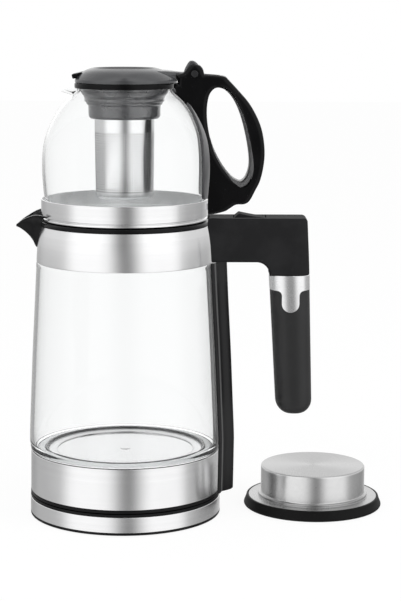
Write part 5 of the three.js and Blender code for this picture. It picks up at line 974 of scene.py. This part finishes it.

# Painted highlight: a grey sheet laid over the loop's rounded edge, a crescent widest at its lower corner.
HIGHLIGHT_RISE, HIGHLIGHT_SHEET = 0.12, 0.2
painted_highlight_grey = moulded("painted_highlight_grey", (0.15, 0.15, 0.153), 0.28, grain=0.4, shine=0.7)
highlight_rows = []
for index, (x, z) in enumerate(handle_hole):
    (x0, z0), (x1, z1) = handle_hole[index - 1], handle_hole[(index + 1) % len(handle_hole)]
    length = math.hypot(x1 - x0, z1 - z0)
    out_x, out_z = (z1 - z0) / length, (x0 - x1) / length
    # How far this part of the rounded edge faces up and to the left; the painted highlight is widest there
    lean = 0.6 * out_x - 0.8 * out_z
    if lean <= -0.4:
        continue
    width = min((lean + 0.4) * 4 + 0.1, 1.0) + 4.4 * max(lean, 0) ** 1.3
    row = []
    for k in range(6):
        reach = width * k / 5
        slope = max(1 - reach / HANDLE_EDGE, 0)
        level = HANDLE_HALF - HANDLE_EDGE + (HANDLE_EDGE + HIGHLIGHT_RISE) * math.sqrt(1 - slope * slope)
        row.append((x + out_x * (reach - HIGHLIGHT_RISE * slope), level, z + out_z * (reach - HIGHLIGHT_RISE * slope)))
    highlight_rows.append(row)
highlight_sheet = bmesh.new()
for side in (1, -1):
    grid = [[highlight_sheet.verts.new((x, y * side, z)) for x, y, z in row] for row in highlight_rows]
    for row, next_row in zip(grid, grid[1:]):
        for k in range(len(row) - 1):
            highlight_sheet.faces.new((row[k], row[k + 1], next_row[k + 1], next_row[k])[::side])
bmesh.ops.solidify(highlight_sheet, geom=highlight_sheet.faces[:], thickness=HIGHLIGHT_SHEET)
bmesh.ops.recalc_face_normals(highlight_sheet, faces=highlight_sheet.faces[:])
fitted("loop_edge_highlight", highlight_sheet, painted_highlight_grey, "teapot", "gloss_black", sharp=60)


def at_height(line, height):
    """The radius of a profile at a height, read off between its points."""
    for (r0, h0), (r1, h1) in zip(line, line[1:]):
        if h0 <= height <= h1:
            return r0 + (r1 - r0) * (height - h0) / (h1 - h0)
    return line[-1][0]


# Grey saddle, a thin moulding between the handle and the glass
SADDLE_SHEET, SADDLE_GAP = 2.4, 0.4
saddle_grey = moulded("saddle_grey", (0.05, 0.05, 0.053), 0.3, grain=0.4)
saddle_halves = through([
    (20, 258.6), (22.5, 263.4), (24.5, 274.9), (25, 286.5), (24.2, 297), (19.5, 312), (15, 322.4),
    (10, 331.5), (7.6, 337.5), (9, 341), (10.5, 344.6),
], 4)
last_row = len(saddle_halves) - 1
saddle = bmesh.new()
bmesh.ops.create_grid(saddle, x_segments=24, y_segments=last_row, size=1)
for corner in saddle.verts:
    half, height = saddle_halves[round((corner.co.y + 1) / 2 * last_row)]
    radius = at_height(bowl_line, height) + SADDLE_GAP
    sideways = half * corner.co.x
    corner.co = (math.sqrt(radius * radius - sideways * sideways), sideways, height)
bmesh.ops.recalc_face_normals(saddle, faces=saddle.faces[:])
if saddle.faces[:][0].normal.x > 0:
    bmesh.ops.reverse_faces(saddle, faces=saddle.faces[:])
bmesh.ops.solidify(saddle, geom=saddle.faces[:], thickness=SADDLE_SHEET)
saddle_piece = fitted("saddle", saddle, saddle_grey, "teapot", "gloss_black", edge=0.8, sharp=40)

# The dark pieces next to steel are left out of its reflections, as the soft light of the studio hides them.
arm_parts = [nodes[name] for name in ("power_switch", "power_lever_pin", "handle_screw_1", "handle_screw_2")]
for dark_piece in (arm_piece, lever_piece, spine_piece, handle_piece, saddle_piece, *arm_parts):
    dark_piece.visible_glossy = False

# Hinge pin: a zinc-plated rivet with flat heads on both sides of the ears.
pin = turned([
    (0, -10.6), (2.7, -10.6), (2.7, -9.8), (1.5, -9.8), (1.5, 9.8), (2.7, 9.8), (2.7, 10.6), (0, 10.6),
], steps=48, roundings={1: 0.3, 6: 0.3})
pin_dark = moulded("pin_dark", (0.03, 0.03, 0.032), 0.3, metal=0.6)
fitted("hinge_pin", laid(pin, "X", 90), pin_dark, "teapot", "zinc_steel", "lid_hinge_pin",
       centre=(HINGE_X, 0, HINGE_Z))


# KETTLE LID
# Lies beside the base: a drawn stainless cap with a stepped flange, held in a soft black rubber ring
# that plugs the kettle's mouth, and closed below by a thin disc.
LID_PLACE = (154.9, 18.4, 0)
# The cap's top face and its flange's top get painted shade, a darker colour that dims their reflections
cap_shaded_levels = ((0.0336, 0.036), (0.008, 0.0112))
cap_steel = steel("lid_cap_steel", (0.66, 0.66, 0.66), 0.28, lines=1.1, level=cap_shaded_levels)
cap = turned([
    (0, 33.8), (42.9, 33.8), (42.9, 11.4), (43.9, 11.0), (45.1, 11.0), (45.1, 8.8), (53.0, 8.6), (53.0, 7.6),
    (41.9, 7.6), (41.9, 31.8), (40.9, 32.8), (0, 32.8),
], steps=192, roundings={1: 1.6, 2: 0.6, 4: 0.6, 5: 0.5, 6: 0.4}, segments=5)
fitted("lid_cap", cap, cap_steel, "kettle_lid", "brushed_steel", "kettle_lid_cap", centre=LID_PLACE)
plug_rubber = moulded("plug_rubber", (0.0035, 0.0035, 0.0035), 0.5, grain=1.2, shine=0.12)
plug = turned([
    (47.3, 0), (56.0, 0), (57.1, 1.5), (55.2, 6.0), (54.6, 8.5), (53.3, 8.6), (53.3, 7.3), (47.3, 7.3),
], steps=192, roundings={1: 0.7, 2: 0.9, 3: 1.5, 4: 0.4}, segments=5)
fitted("lid_plug", plug, plug_rubber, "kettle_lid", "rubber_black", "kettle_lid_seal", centre=LID_PLACE)
dressed(cap_steel, "kettle_lid_disc")


# Lowest and highest corners of all that is shown, the table left out
low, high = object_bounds()
